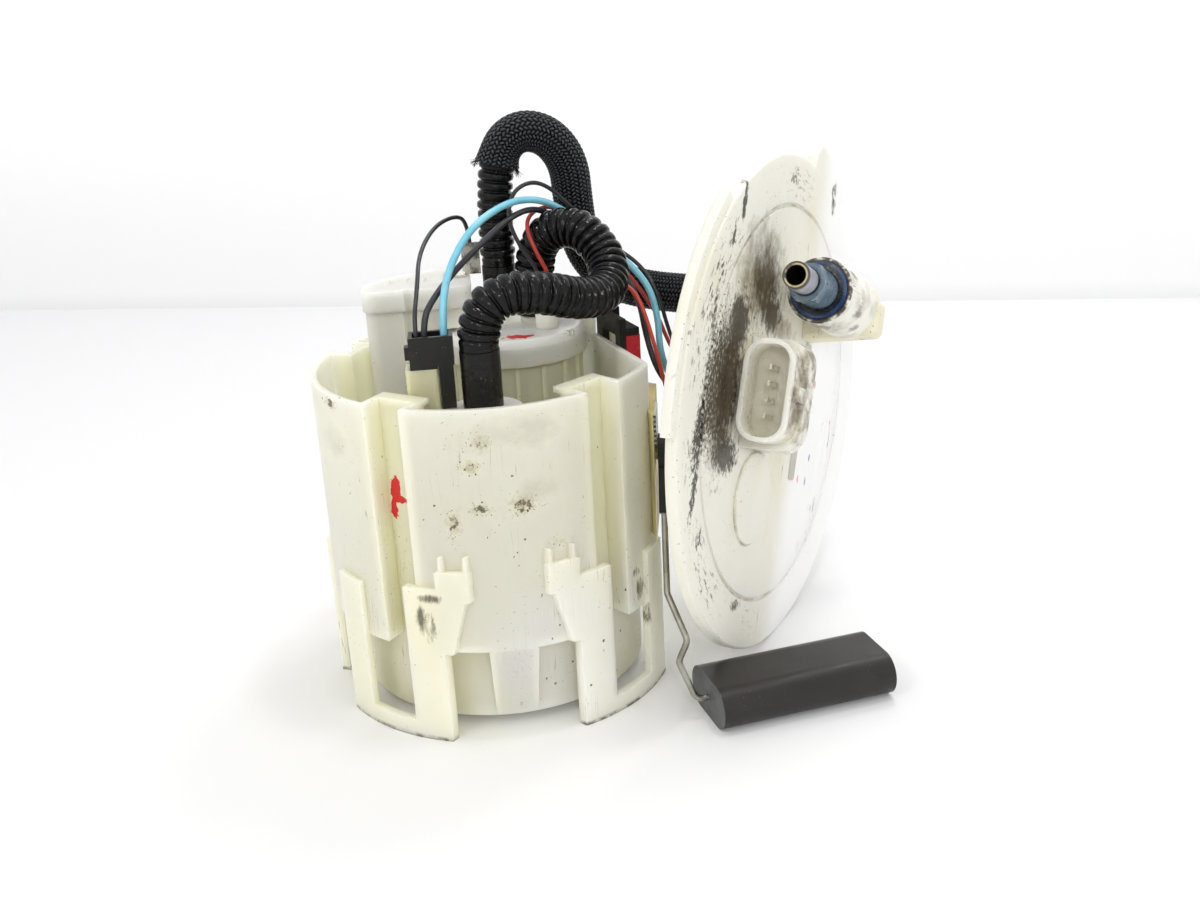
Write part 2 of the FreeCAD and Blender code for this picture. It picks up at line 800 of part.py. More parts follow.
def make_check_valve():
    """Small mushroom valve in the pump's outlet neck."""
    seat = outlet_cover_rim - 8
    head = Part.makeCone(1.6, 2.5, 1.6, Vector(0, pump_outlet_offset, seat + 0.05))
    guide = cylinder(1.2, seat + 1.6, seat + 7, 0, pump_outlet_offset)
    valve = fuse([head, guide])
    valve.translate(Vector(pump_x, pump_y, 0))
    return valve


def make_isolators():
    """Two rubber rings that carry the pump quietly in its holder."""
    inner = pump_radius + 0.05
    outer = holder_bore - 0.05
    low = ring(inner, outer, can_bottom + 7, can_bottom + 7 + isolator_height, pump_x, pump_y)
    high = ring(inner, outer, can_top - 10, can_top - 10 + isolator_height, pump_x, pump_y)
    return Part.makeCompound([low, high])


def make_cap():
    """Round cap over the pump: a skirted lid with a rim, bosses and the hose's nipple."""
    roof = cap_top - cap_wall
    profile = [
        (0, roof), (cap_radius - cap_wall - 1, roof), (cap_radius - cap_wall, roof - 1),
        (cap_radius - cap_wall, cap_skirt_bottom), (cap_radius, cap_skirt_bottom),
        (cap_radius, cap_top - cap_chamfer), (cap_radius - cap_chamfer, cap_top + cap_rim - 0.4),
        (cap_radius - cap_chamfer - 1.5, cap_top + cap_rim - 0.4), (cap_radius - cap_chamfer - 2.5, cap_top),
        (0, cap_top),
    ]
    cap = revolve(profile, pump_x, pump_y)
    boss = cylinder(cap_boss_radius, cap_top - 0.5, cap_top + cap_boss_height, rear_nipple_x, rear_nipple_y)
    nipple = cylinder(nipple_radius, cap_top, rear_cuff_top - nipple_short, rear_nipple_x, rear_nipple_y)
    neck = cylinder(pump_outlet_radius + 1.6, pump_outlet_top - 4, roof + 0.5, pump_x,
                    pump_y + pump_outlet_offset)
    stand = ring(holder_bore - 2.4, holder_bore + holder_wall, holder_top, roof + 0.5, pump_x, pump_y)
    nub = cylinder(cap_nub_radius, cap_top - 0.5, cap_top + cap_nub_height, cap_nub_x, cap_nub_y)
    cap = fuse([cap, boss, nipple, neck, stand, nub])
    socket = cylinder(pump_outlet_radius + 0.05, pump_outlet_top - 5, pump_outlet_top, pump_x,
                      pump_y + pump_outlet_offset)
    bore = cylinder(nipple_bore, roof - 1, rear_cuff_top, rear_nipple_x, rear_nipple_y)
    return cap.cut(socket).cut(bore)


def make_cuff(x, y, bottom, top, radius=cuff_radius):
    """Smooth rubber end of a hose, pushed over a nipple."""
    cuff = cylinder(radius, bottom, top, x, y)
    grip = cylinder(nipple_radius + cuff_gap, bottom - 1, top - nipple_short + 0.05, x, y)
    bore = cylinder(nipple_bore, bottom - 1, top + 1, x, y)
    return cuff.cut(grip).cut(bore)


def filter_plan(grow, bottom, top):
    """Slice that follows the pot's wall at the back, with rounded front corners and a fold."""
    corner = filter_corner + grow
    slab = block(filter_left - grow, filter_right + grow, filter_front - grow, filter_radius, bottom, top)
    upright = [e for e in slab.Edges if abs(e.tangentAt(e.FirstParameter).z) > 0.99
               and e.CenterOfMass.y < filter_radius - 1]
    slab = slab.makeFillet(corner, upright)
    slab = slab.common(cylinder(filter_radius + grow, bottom, top))
    fold = cylinder(filter_fold_radius - grow, bottom - 1, top + 1, filter_fold_x, filter_front - 0.6)
    return slab.cut(fold)


def kidney_plan(grow, bottom, top):
    """Filter slice hollowed at its right to pass the pump's cap."""
    passage = cylinder(cap_radius + filter_gap - grow, bottom - 1, top + 1, pump_x, pump_y)
    return filter_plan(grow, bottom, top).cut(passage)


def make_filter_housing():
    """Plastic box of the fuel filter with the feed hose's outlet elbow over the pump's cap."""
    step = cap_top + filter_gap
    shell = kidney_plan(0, filter_bottom, step).fuse(filter_plan(0, step, filter_split))
    space = kidney_plan(-filter_wall, filter_bottom + filter_wall, filter_split)
    space = space.fuse(filter_plan(-filter_wall, step + filter_wall, filter_split + 1))
    start = Vector(filter_right - filter_wall, feed_nipple_y, duct_level)
    duct = Part.makeCylinder(duct_radius, feed_nipple_x - start.x, start, Vector(1, 0, 0))
    knee = Part.makeSphere(duct_radius, Vector(feed_nipple_x, feed_nipple_y, duct_level))
    riser = cylinder(duct_radius + 1.2, duct_level, feed_cuff_bottom, feed_nipple_x, feed_nipple_y)
    nipple = cylinder(nipple_radius, duct_level, feed_cuff_top - nipple_short, feed_nipple_x, feed_nipple_y)
    bore = cylinder(nipple_bore, duct_level, feed_cuff_top, feed_nipple_x, feed_nipple_y)
    flow = Part.makeCylinder(nipple_bore, feed_nipple_x - start.x + 8, Vector(start.x - 8, start.y, start.z),
                             Vector(1, 0, 0))
    shell = shell.cut(space)
    return fuse([shell, duct, knee, riser, nipple]).cut(bore).cut(flow)


def make_filter_lid():
    """Welded lid of the filter with stiffening slots."""
    lid = filter_plan(filter_lid_lip, filter_split, filter_top)
    space = filter_plan(-filter_wall, filter_split - 1, filter_top - filter_wall)
    lid = lid.cut(space)
    for i in range(3):
        start = filter_left + 8 + 6 * i
        slot = block(start, start + 1.2, filter_slot_front, filter_slot_back, filter_top - 0.6,
                     filter_top + 1)
        lid = lid.cut(slot)
    return lid


def make_filter_element():
    """Pleated paper pack inside the filter."""
    return kidney_plan(-filter_wall - 1.2, filter_bottom + filter_wall, filter_split - 4)


def make_regulator_tower():
    """Column at the pot's front with the transfer hose's nipple on its round head."""
    column = cylinder(regulator_column_radius, regulator_bottom, regulator_top, front_nipple_x, regulator_y)
    head = cylinder(regulator_disc_radius, regulator_top - regulator_disc, regulator_top, front_nipple_x,
                    regulator_y)
    head = head.makeFillet(0.8, [head.Edges[0]])
    nipple = cylinder(nipple_radius, regulator_top - 1, front_cuff_top - nipple_short, front_nipple_x,
                      front_nipple_y)
    tower = fuse([column, head, nipple])
    cavity = cylinder(regulator_bore, regulator_floor, regulator_top - regulator_disc, front_nipple_x,
                      regulator_y)
    drain = cylinder(2.5, regulator_bottom + 4, regulator_floor + 1, front_nipple_x, regulator_y)
    port = block(front_nipple_x - 2.5, front_nipple_x + 2.5, regulator_y - 14, regulator_y,
                 regulator_bottom + 4, regulator_bottom + 12)
    bore = cylinder(nipple_bore, regulator_top - regulator_disc - 1, front_cuff_top, front_nipple_x,
                    front_nipple_y)
    return tower.cut(cavity).cut(drain).cut(port).cut(bore)


def make_regulator_can():
    """Steel can of the pressure regulator with its valve seat."""
    outer = regulator_bore - 0.05
    top = regulator_floor + regulator_can_height
    can = cylinder(outer, regulator_floor, top, front_nipple_x, regulator_y)
    space = cylinder(outer - regulator_can_wall, regulator_floor + 2, top - regulator_can_wall,
                     front_nipple_x, regulator_y)
    seat = cylinder(1.5, regulator_floor - 1, regulator_floor + 3, front_nipple_x, regulator_y)
    vent = cylinder(2.0, top - 2, top + 1, front_nipple_x, regulator_y)
    return can.cut(space).cut(seat).cut(vent)


def make_regulator_valve():
    """Valve plate of the regulator, pressed on its seat by the spring."""
    seat = regulator_floor + 2
    plate = cylinder(regulator_valve_radius, seat + 0.05, seat + 1.6, front_nipple_x, regulator_y)
    pin = cylinder(1.2, seat + 1.6, seat + 6, front_nipple_x, regulator_y)
    return fuse([plate, pin])


def make_regulator_spring():
    """Coil spring between the valve plate and the can's roof."""
    bottom = regulator_floor + 2 + 1.65
    top = regulator_floor + regulator_can_height - regulator_can_wall - 0.05
    wire = 0.5
    coil = 2.2
    pitch = (top - bottom - 2 * wire) / 6
    helix = Part.makeHelix(pitch, top - bottom - 2 * wire, coil)
    section = Part.Wire(Part.Circle(Vector(coil, 0, 0), Vector(0, 1, 0), wire).toShape())
    spring = Part.Wire(helix.Edges).makePipeShell([section], True, True)
    spring.translate(Vector(front_nipple_x, regulator_y, bottom + wire))
    return spring


def make_jet_pump():
    """Venturi tube on the floor that draws fuel into the pot."""
    length = jet_right - jet_left
    body = Part.makeCylinder(jet_radius, length, Vector(jet_left, jet_y, jet_level), Vector(1, 0, 0))
    bell = Part.makeCone(jet_radius - 1, jet_throat, length / 2, Vector(jet_left, jet_y, jet_level),
                         Vector(1, 0, 0))
    throat = Part.makeCylinder(jet_throat, length + 2, Vector(jet_left - 1, jet_y, jet_level),
                               Vector(1, 0, 0))
    foot = block(jet_left + 2, jet_right - 2, jet_y - 3, jet_y + 3, floor_level + floor_thickness, jet_level)
    return fuse([body, foot]).cut(bell).cut(throat)


def make_tower():
    """Tall connector tower with an open shaft for the plug's contacts."""
    floor_top = floor_level + floor_thickness
    column = block(tower_left, tower_right, tower_front, tower_back, floor_top, tower_top)
    upright = [e for e in column.Edges if abs(e.tangentAt(e.FirstParameter).z) > 0.99]
    column = column.makeFillet(1.2, upright)
    foot = block(tower_left - 2, tower_right + 1, tower_front - 2, tower_back + 2, floor_top, floor_top + 3)
    shaft = block(tower_left + tower_wall, tower_right - tower_wall, tower_front + tower_wall,
                  tower_back - tower_wall, tower_top - tower_shaft, tower_top + 1)
    return fuse([column, foot]).cut(shaft)


def make_plug():
    """Black plug on the tower: an open box for two wires, a latch nub and a long locking leg."""
    floor = plug_top - plug_depth
    back = tower_front + plug_depth
    shell = block(tower_left + 1.6, plug_right, tower_front + 0.4, back, floor, plug_top)
    well = block(tower_left + 1.6 + plug_wall, plug_right - plug_wall, tower_front + 0.4 + plug_wall,
                 back - plug_wall, floor + 4.5, plug_top + 1)
    stalk = block(tower_left + tower_wall + 0.6, tower_right - tower_wall - 0.3,
                  tower_front + tower_wall + 0.3, tower_back - tower_wall - 0.3,
                  tower_top - 12, floor + 1)
    step = block(tower_left + 1.6, tower_right, tower_front + 0.4, back, tower_top, floor + 1)
    nub = block(tower_left + 0.2, tower_left + 2, tower_front + 1.5, tower_front + 5,
                plug_top - 7, plug_top - 3)
    leg = block(plug_right - 0.4 - plug_leg_width, plug_right - 0.4, tower_front + 0.4,
                tower_front + 0.4 + plug_leg_depth, regulator_top + 0.3, floor + 1)
    return fuse([shell, stalk, step, nub, leg]).cut(well)


def make_blade():
    """Flat ground blade that stands on the filter's lid."""
    foot = block(blade_x - blade_width - 4, blade_x - 3.2, blade_y - 4, blade_y + 4, filter_top,
                 filter_top + blade_thickness)
    blade = block(blade_x - 4, blade_x - 4 + blade_width, blade_y, blade_y + blade_thickness,
                  filter_top, filter_top + blade_height)
    return fuse([foot, blade])


def arm_point(out, along, level):
    """Point in the sender's frame: out along the pivot's axis, along the arm's plane towards the front."""
    outward = polar(1, arm_azimuth)
    forward = polar(1, arm_azimuth - 90)
    return outward * out + forward * along + Vector(0, 0, level)


def arm_bend(out, along, level):
    """Bend of the wire arm, given out from the sender's face."""
    return arm_point(sender_face + out, along, level)


def arm_block(out0, out1, along0, along1, level0, level1):
    """Box in the sender's frame."""
    box = block(out0, out1, -along1, -along0, level0, level1)
    return turn_z(box, arm_azimuth)


def arm_cylinder(radius, out0, out1, along, level):
    """Round solid along the pivot's axis."""
    return Part.makeCylinder(radius, out1 - out0, arm_point(out0, along, level), polar(1, arm_azimuth))


def make_sender_housing():
    """Moulded sender body on the pot's flat, with its working face turned to the arm's axis."""
    flat_normal = polar(1, flat_azimuth)
    flat_along = polar(1, flat_azimuth + 90)
    front = flat_normal * flat_distance + flat_along * sender_flat_front
    back = flat_normal * flat_distance + flat_along * sender_flat_back
    face_back = arm_point(sender_face, sender_back, 0)
    face_front = arm_point(sender_face, sender_front, 0)
    plan = [(p.x, p.y) for p in (back, front, face_front, face_back)]
    body = polygon_prism(plan, sender_bottom, sender_top)
    body = body.cut(prism(pot_outline(0.05), sender_bottom - 1, sender_top + 1))
    window = arm_block(sender_face - 3, sender_face + 1, sender_back + 3, card_back - 4, sender_bottom + 6,
                       sender_top - 6)
    body = body.cut(window)
    boss = arm_cylinder(pivot_radius, sender_face - 1, sender_face + pivot_length, pivot_along, pivot_level)
    head = arm_cylinder(pivot_radius + 1, sender_face + pivot_length, sender_face + pivot_length + 1,
                        pivot_along, pivot_level)
    return fuse([body, boss, head])


def make_sender_card():
    """Ceramic track card on the sender's face."""
    return arm_block(sender_face, sender_face + card_thickness, card_back, card_front, card_bottom, card_top)


def holder_span():
    """Where the arm holder starts and ends along the pivot's axis."""
    return sender_face + card_thickness + card_gap, sender_face + pivot_length - card_gap


def arm_start():
    """Inner end of the wire, held in the arm holder."""
    inner, outer = holder_span()
    drop = radians(arm_drop)
    return arm_point((inner + outer) / 2, pivot_along + 7.5 * cos(drop), pivot_level - 7.5 * sin(drop))


def make_arm_holder():
    """Plastic hub and clip that carry the wire arm and the contacts."""
    inner, outer = holder_span()
    hub = arm_cylinder(holder_hub_radius, inner, outer, pivot_along, pivot_level)
    lever = block(inner, outer, -holder_arm_length, 0, -holder_arm_width / 2, holder_arm_width / 2)
    lever.rotate(Vector(0, 0, 0), Vector(1, 0, 0), arm_drop)
    lever.translate(Vector(0, -pivot_along, pivot_level))
    lever = turn_z(lever, arm_azimuth)
    holder = fuse([hub, lever])
    bore = arm_cylinder(pivot_radius + running_gap, inner - 1, outer + 1, pivot_along, pivot_level)
    return holder.cut(bore)


def make_float():
    """Closed-cell foam float with full round edges and a hole for the wire."""
    half = float_width / 2 - float_height / 2
    middle = float_height / 2
    slab = block(0, float_length, -half, half, 0, float_height)
    solids = [slab]
    for y in (-half, half):
        solids.append(Part.makeCylinder(middle, float_length, Vector(0, y, middle), Vector(1, 0, 0)))
    body = fuse(solids)
    hole = Part.makeCylinder(wire_radius + wire_gap, float_length + 2, Vector(-1, 0, middle), Vector(1, 0, 0))
    body = body.cut(hole)
    body.rotate(Vector(0, 0, 0), Vector(0, 0, 1), float_azimuth)
    body.translate(Vector(float_x, float_y, 0))
    return body


def make_float_arm():
    """Bent steel wire from the holder through the float."""
    axis = polar(1, float_azimuth)
    left = Vector(float_x, float_y, float_height / 2)
    bends = [arm_bend(*p) for p in arm_bends]
    route = [arm_start()] + bends + [left - axis * arm_tail, left + axis * (float_length + arm_end)]
    edges = []
    start = route[0]
    for before, corner, after in zip(route, route[1:], route[2:]):
        incoming = corner - before
        outgoing = after - corner
        half_turn = incoming.getAngle(outgoing) / 2
        trim = min(0.45 * min(incoming.Length, outgoing.Length), 3 * wire_radius * tan(half_turn))
        bend = trim / tan(half_turn)
        incoming.normalize()
        outgoing.normalize()
        inward = outgoing - incoming
        inward.normalize()
        first_end = corner - incoming * trim
        last_end = corner + outgoing * trim
        middle_point = corner + inward * (bend / cos(half_turn) - bend)
        edges.append(line(start, first_end))
        edges.append(Part.Arc(first_end, middle_point, last_end).toShape())
        start = last_end
    edges.append(line(start, route[-1]))
    section = Part.Wire(Part.Circle(route[0], route[1] - route[0], wire_radius).toShape())
    return Part.Wire(edges).makePipeShell([section], True, False)


def flat_block(out0, out1, along0, along1, level0, level1):
    """Box in the frame of the pot's flat."""
    return turn_z(block(out0, out1, along0, along1, level0, level1), flat_azimuth)


def make_sender_bracket():
    """Black bracket that hooks the sender on the pot's flat."""
    inner = flat_distance + 0.05
    plate = flat_block(inner, inner + bracket_thickness, bracket_front, bracket_back, bracket_bottom,
                       bracket_top)
    window = flat_block(inner - 1, inner + bracket_thickness + 1, bracket_front + 4, bracket_back - 5,
                        pot_height - 6, bracket_top - 4)
    leg = flat_block(inner, inner + bracket_reach, bracket_back - 4, bracket_back, bracket_bottom + 4,
                     bracket_top)
    shelf = flat_block(inner, inner + bracket_reach, bracket_front, bracket_back, bracket_top - 6,
                       bracket_top - 3.5)
    return fuse([plate.cut(window), leg, shelf])


def make_sender_clip():
    """Small red locking clip at the sender's front edge."""
    inner = flat_distance + 0.05 + bracket_thickness
    clip = flat_block(inner, inner + 5, bracket_front, bracket_front + 4.5, bracket_bottom + 9,
                      bracket_top - 6)
    return clip


def make_sender_tab():
    """Cream contact tab on the bracket."""
    inner = flat_distance + 0.05 + bracket_thickness
    return flat_block(inner, inner + 1.4, bracket_front + 7, bracket_back - 5.5, bracket_bottom + 6,
                      bracket_top - 6)


def make_sender_rod():
    """Metal stop rod across the sender's head."""
    level = bracket_bottom + 4
    inner = flat_distance + bracket_thickness + 2.0
    start = polar(inner, flat_azimuth, level) + polar(1, flat_azimuth + 90) * bracket_front
    rod = Part.makeCylinder(1.3, bracket_back - 4.2 - bracket_front, start, polar(1, flat_azimuth + 90))
    return rod


def cover_placement():
    """Placement of the cover's frame in the part's frame."""
    lean = FreeCAD.Rotation(Vector(0, 0, 1), cover_azimuth)
    upright = FreeCAD.Rotation(Vector(0, 1, 0), Vector(0, 0, 1), Vector(1, 0, 0), "ZXY")
    spin = FreeCAD.Rotation(Vector(0, 0, 1), -cover_turn)
    return FreeCAD.Placement(Vector(cover_x, cover_y, cover_radius), lean.multiply(upright).multiply(spin))


def on_cover(shape):
    """Shape moved from the cover's frame to the part's frame."""
    copy = shape.copy()
    copy.Placement = cover_placement().multiply(copy.Placement)
    return copy


def cover_point(x, y, z):
    """Point given in the cover's frame."""
    return cover_placement().multVec(Vector(x, y, z))


def make_cover():
    """Round tank cover: disc with a groove, a rim tab, a lug, a raised pad and a collar."""
    plate = cylinder(cover_radius, -cover_thickness, 0)
    front_edge = [e for e in plate.Edges if abs(e.CenterOfMass.z) < 0.01 and len(e.Vertexes) == 1]
    plate = plate.makeFillet(0.8, front_edge)
    tab = sector(cover_radius - 2, cover_radius + cover_tab_reach, cover_tab_start, cover_tab_end,
                 -cover_thickness, -0.8)
    lug = sector(cover_radius - 2, cover_radius + cover_lug_reach, cover_lug_start, cover_lug_end,
                 -cover_thickness, -0.4)
    trim = polygon_prism([
        tuple(polar(cover_radius - 3, cover_lug_end + 4))[:2],
        tuple(polar(cover_radius + 14, cover_lug_end + 4))[:2],
        tuple(polar(cover_radius + 14, cover_lug_end - 4))[:2],
    ], -cover_thickness - 1, 1)
    pad = cylinder(cover_pad_radius, -1, cover_pad_height, cover_pad_x, cover_pad_y)
    pad = pad.makeFillet(0.6, [e for e in pad.Edges if abs(e.CenterOfMass.z - cover_pad_height) < 0.01])
    collar = ring(collar_radius - collar_wall, collar_radius, -collar_depth, -cover_thickness + 0.5)
    cover = fuse([plate, tab, lug.cut(trim), pad, collar])
    groove = ring(cover_groove_radius - cover_groove_width / 2, cover_groove_radius + cover_groove_width / 2,
                  -cover_groove_depth, 1)
    root = -cover_thickness
    boss = cylinder(nipple_radius + 2, root - 4, root + 0.5, under_nipple_x, under_nipple_y)
    nipple = cylinder(nipple_radius, -under_nipple_reach, root, under_nipple_x, under_nipple_y)
    bore = cylinder(nipple_bore, -under_nipple_reach - 1, root - 1, under_nipple_x, under_nipple_y)
    recess = ring(collar_radius, collar_radius + seal_width + seal_room, root - 1, root + seal_recess)
    cover = fuse([cover.cut(groove).cut(recess), boss, nipple]).cut(bore)
    return on_cover(cover)


def make_cover_seal():
    """Rubber ring round the collar, under the cover's band."""
    inner = collar_radius + 0.1
    top = seal_recess - cover_thickness
    seal = ring(inner, inner + seal_width, top - seal_height, top)
    seal = seal.makeFillet(0.8, [e for e in seal.Edges if abs(e.CenterOfMass.z - top + seal_height) < 0.01
                                 and len(e.Vertexes) == 1])
    return on_cover(seal)


def make_under_cuff():
    """Hose cuff on the nipple under the cover."""
    grip = under_nipple_reach
    cuff = cylinder(cuff_radius, -under_cuff_reach, -cover_thickness - 4.3, under_nipple_x, under_nipple_y)
    wide = cylinder(nipple_radius + cuff_gap, -grip, 0, under_nipple_x, under_nipple_y)
    bore = cylinder(nipple_bore, -under_cuff_reach - 1, 0, under_nipple_x, under_nipple_y)
    return on_cover(cuff.cut(wide).cut(bore))


def make_under_plug():
    """Black connector under the cover where the wires end."""
    plug = rounded_slab(under_plug_half_x, under_plug_half_y, 2.0, -cover_thickness - under_plug_depth,
                        -cover_thickness)
    return on_cover(plug)


def across(radius, start, end, y=outlet_y, z=outlet_height):
    """Round solid along the cover's x axis."""
    return Part.makeCylinder(radius, end - start, Vector(start, y, z), Vector(1, 0, 0))


def outlet_elbow():
    """Tapered elbow behind the barrel that leads the fuel through the cover, rounded at its outer end."""
    side = [
        (outlet_y + elbow_top, 0), (outlet_y + elbow_top, elbow_height), (outlet_y - elbow_low, elbow_height),
        (outlet_y - elbow_root, 0),
    ]
    corners = [Vector(elbow_start, y, z) for y, z in side]
    edges = [line(corners[i - 1], corners[i]) for i in range(len(corners))]
    elbow = Part.Face(Part.Wire(edges)).extrude(Vector(elbow_end - elbow_start, 0, 0))
    outer = [e for e in elbow.Edges if e.CenterOfMass.z > elbow_height / 3]
    return elbow.makeFillet(elbow_round, outer)


def make_outlet_housing():
    """Quick-connector body on the cover with its foot and the elbow behind it."""
    barrel = across(outlet_radius, outlet_mouth, outlet_back)
    nose = across(outlet_radius - 2.2, outlet_back - 0.5, outlet_back + 3)
    foot = block(outlet_mouth + 9, outlet_back + 3, outlet_y - outlet_foot_half, outlet_y + outlet_foot_half,
                 0, outlet_height)
    housing = fuse([barrel, nose, foot, outlet_elbow()])
    housing = housing.cut(across(outlet_bore, outlet_mouth - 1, outlet_step))
    housing = housing.cut(across(outlet_seal_bore, outlet_step - 1, outlet_floor))
    housing = housing.cut(across(stub_bore, outlet_floor - 1, outlet_back - 2))
    return on_cover(housing)


def make_stub():
    """Stub of the broken-off feed pipe that stands out of the outlet."""
    tip = outlet_mouth - stub_reach
    tube = across(stub_radius, tip, tip + stub_land).fuse(across(stub_neck, tip, outlet_floor))
    flange = across(outlet_seal_bore - 0.05, outlet_floor - 2, outlet_floor)
    bead = across(stub_neck + 1.0, outlet_step + 0.6, outlet_step + 2.4)
    return on_cover(fuse([tube, flange, bead]).cut(across(stub_bore, tip - 1, outlet_floor + 1)))


def make_retainer():
    """Dark blue retaining ring in the outlet's mouth."""
    outer = outlet_bore - 0.05
    ring_body = across(outer, outlet_mouth - 1.2, outlet_mouth - 1.2 + retainer_depth)
    return on_cover(ring_body.cut(across(retainer_inner, outlet_mouth - 3, outlet_step)))


def make_release():
    """Sliding release sleeve on the stub: six flats outside, pressed in to free the pipe."""
    length = release_length
    body = across(release_radius, release_start - length, release_start)
    collar = across(release_radius + 1.4, release_start - length + 2, release_start - length + 5)
    cut_size = release_radius * 2
    sleeve = fuse([body, collar])
    for i in range(6):
        flat = block(release_start - length - 1, release_start - length + 10, release_radius * 0.92,
                     release_radius * 0.92 + cut_size, -cut_size, cut_size)
        flat.rotate(Vector(0, 0, 0), Vector(1, 0, 0), 60 * i)
        flat.translate(Vector(0, outlet_y, outlet_height))
        sleeve = sleeve.cut(flat)
    bore = across(stub_neck + running_gap, release_start - length - 1, release_start + 1)
    return on_cover(sleeve.cut(bore))


def make_outlet_seals():
    """Two rubber rings between the stub and the outlet's bore."""
    minor = (outlet_seal_bore - stub_neck) / 2 - 0.04
    major = (outlet_seal_bore + stub_neck) / 2
    rings = []
    for x in (outlet_step + 4.2, outlet_floor - 3.4):
        rings.append(Part.makeTorus(major, minor, Vector(x, outlet_y, outlet_height), Vector(1, 0, 0)))
    return on_cover(Part.makeCompound(rings))


def mouth_slab(grow, corner, start, end):
    """Rounded slab of the socket's section between two x stations."""
    slab = rounded_slab(socket_half_z + grow, socket_half_y + grow, corner, start, end)
    slab.rotate(Vector(0, 0, 0), Vector(0, 1, 0), 90)
    slab.translate(Vector(0, socket_y, socket_height))
    return slab


def make_socket():
    """Right-angled electrical socket: an open collar on a wedge-backed base, with a latch nub."""
    base_front = socket_mouth + socket_collar
    collar = mouth_slab(0, socket_corner, socket_mouth, base_front + 1)
    grow = socket_base_grow
    top = socket_height + socket_half_z + grow
    half = socket_half_y + grow
    side = [(base_front, 0), (base_front, top), (base_front + 7, top), (socket_back, 5), (socket_back + 4, 0)]
    base = polygon_prism(side, -half, half)
    base.rotate(Vector(0, 0, 0), Vector(1, 0, 0), 90)
    base.translate(Vector(0, socket_y, 0))
    outline = mouth_slab(grow, socket_corner + grow, base_front, socket_back + 5)
    under = block(base_front, socket_back + 5, socket_y - half, socket_y + half, 0, socket_height)
    base = base.common(outline.fuse(under))
    nub = block(socket_mouth + 3.5, base_front + 1, socket_y - 2.4, socket_y + 2.4,
                socket_height + socket_half_z - 1, socket_height + socket_half_z + 1.8)
    solids = [collar, base, nub]
    for y in (-9.5, 9.5):
        solids.append(block(socket_mouth + 4, socket_mouth + 7, socket_y + y - 0.6, socket_y + y + 0.6,
                            socket_height - socket_half_z - 0.9, socket_height - socket_half_z + 1))
    socket = fuse(solids)
    socket = socket.cut(mouth_slab(-socket_wall, socket_corner - socket_wall, socket_mouth - 1,
                                   socket_mouth + socket_depth))
    socket = socket.cut(pin_row())
    return on_cover(socket)


def pin_row():
    """Flat blade contacts of the socket in one row."""
    floor = socket_mouth + socket_depth
    pins = []
    for i in range(pin_count):
        y = socket_y + (i - (pin_count - 1) / 2) * pin_pitch
        pins.append(block(floor - pin_reach, floor + pin_root, y - pin_width / 2, y + pin_width / 2,
                          socket_height - pin_thickness / 2, socket_height + pin_thickness / 2))
    return Part.makeCompound(pins)


def make_label():
    """Bare grey strip bonded to the cover's face."""
    strip = rounded_slab(label_width / 2, label_length / 2, 1.2, 0, label_thickness, label_x, 0)
    return on_cover(strip)


def wire_route(points, port):
    """Wire's route with its straight lead into the plug under the cover."""
    x, y = wire_ports[port]
    face = -cover_thickness - under_plug_depth
    ends = [cover_point(x, y, face - wire_lead), cover_point(x, y, face)]
    return above_rim(points) + [tuple(p) for p in ends]


def feed_path():
    """Feed hose's route with its straight lead into the cuff under the cover."""
    ends = [cover_point(under_nipple_x, under_nipple_y, -under_cuff_reach - feed_lead),
            cover_point(under_nipple_x, under_nipple_y, -under_cuff_reach)]
    return above_rim(feed_route) + [tuple(p) for p in ends]


def make_sleeve():
    """Woven sleeve over the feed hose from its bend to the cover."""
    outer = cord("braided_sleeve", feed_path(), sleeve_radius)
    inner = cord("sleeve bore", feed_path(), feed_radius + sleeve_gap)
    reach = 3 * feed_radius
    low = block(feed_nipple_x - reach, feed_nipple_x + reach, feed_nipple_y - reach, feed_nipple_y + reach,
                pot_height, pot_height + sleeve_start)
    sleeve = outer.cut(inner).cut(low)
    start = cover_point(under_nipple_x, under_nipple_y, -under_cuff_reach - 1.5)
    stop = Part.makeCylinder(12, 10, start, cover_point(0, 0, 1) - cover_point(0, 0, 0))
    return sleeve.cut(stop)


def make_arm_groove():
    """Straight hole in the holder that grips the wire's first stretch."""
    start = arm_start()
    end = arm_bend(*arm_bends[0])
    return Part.makeCylinder(wire_radius, (end - start).Length + 4, start, end - start)


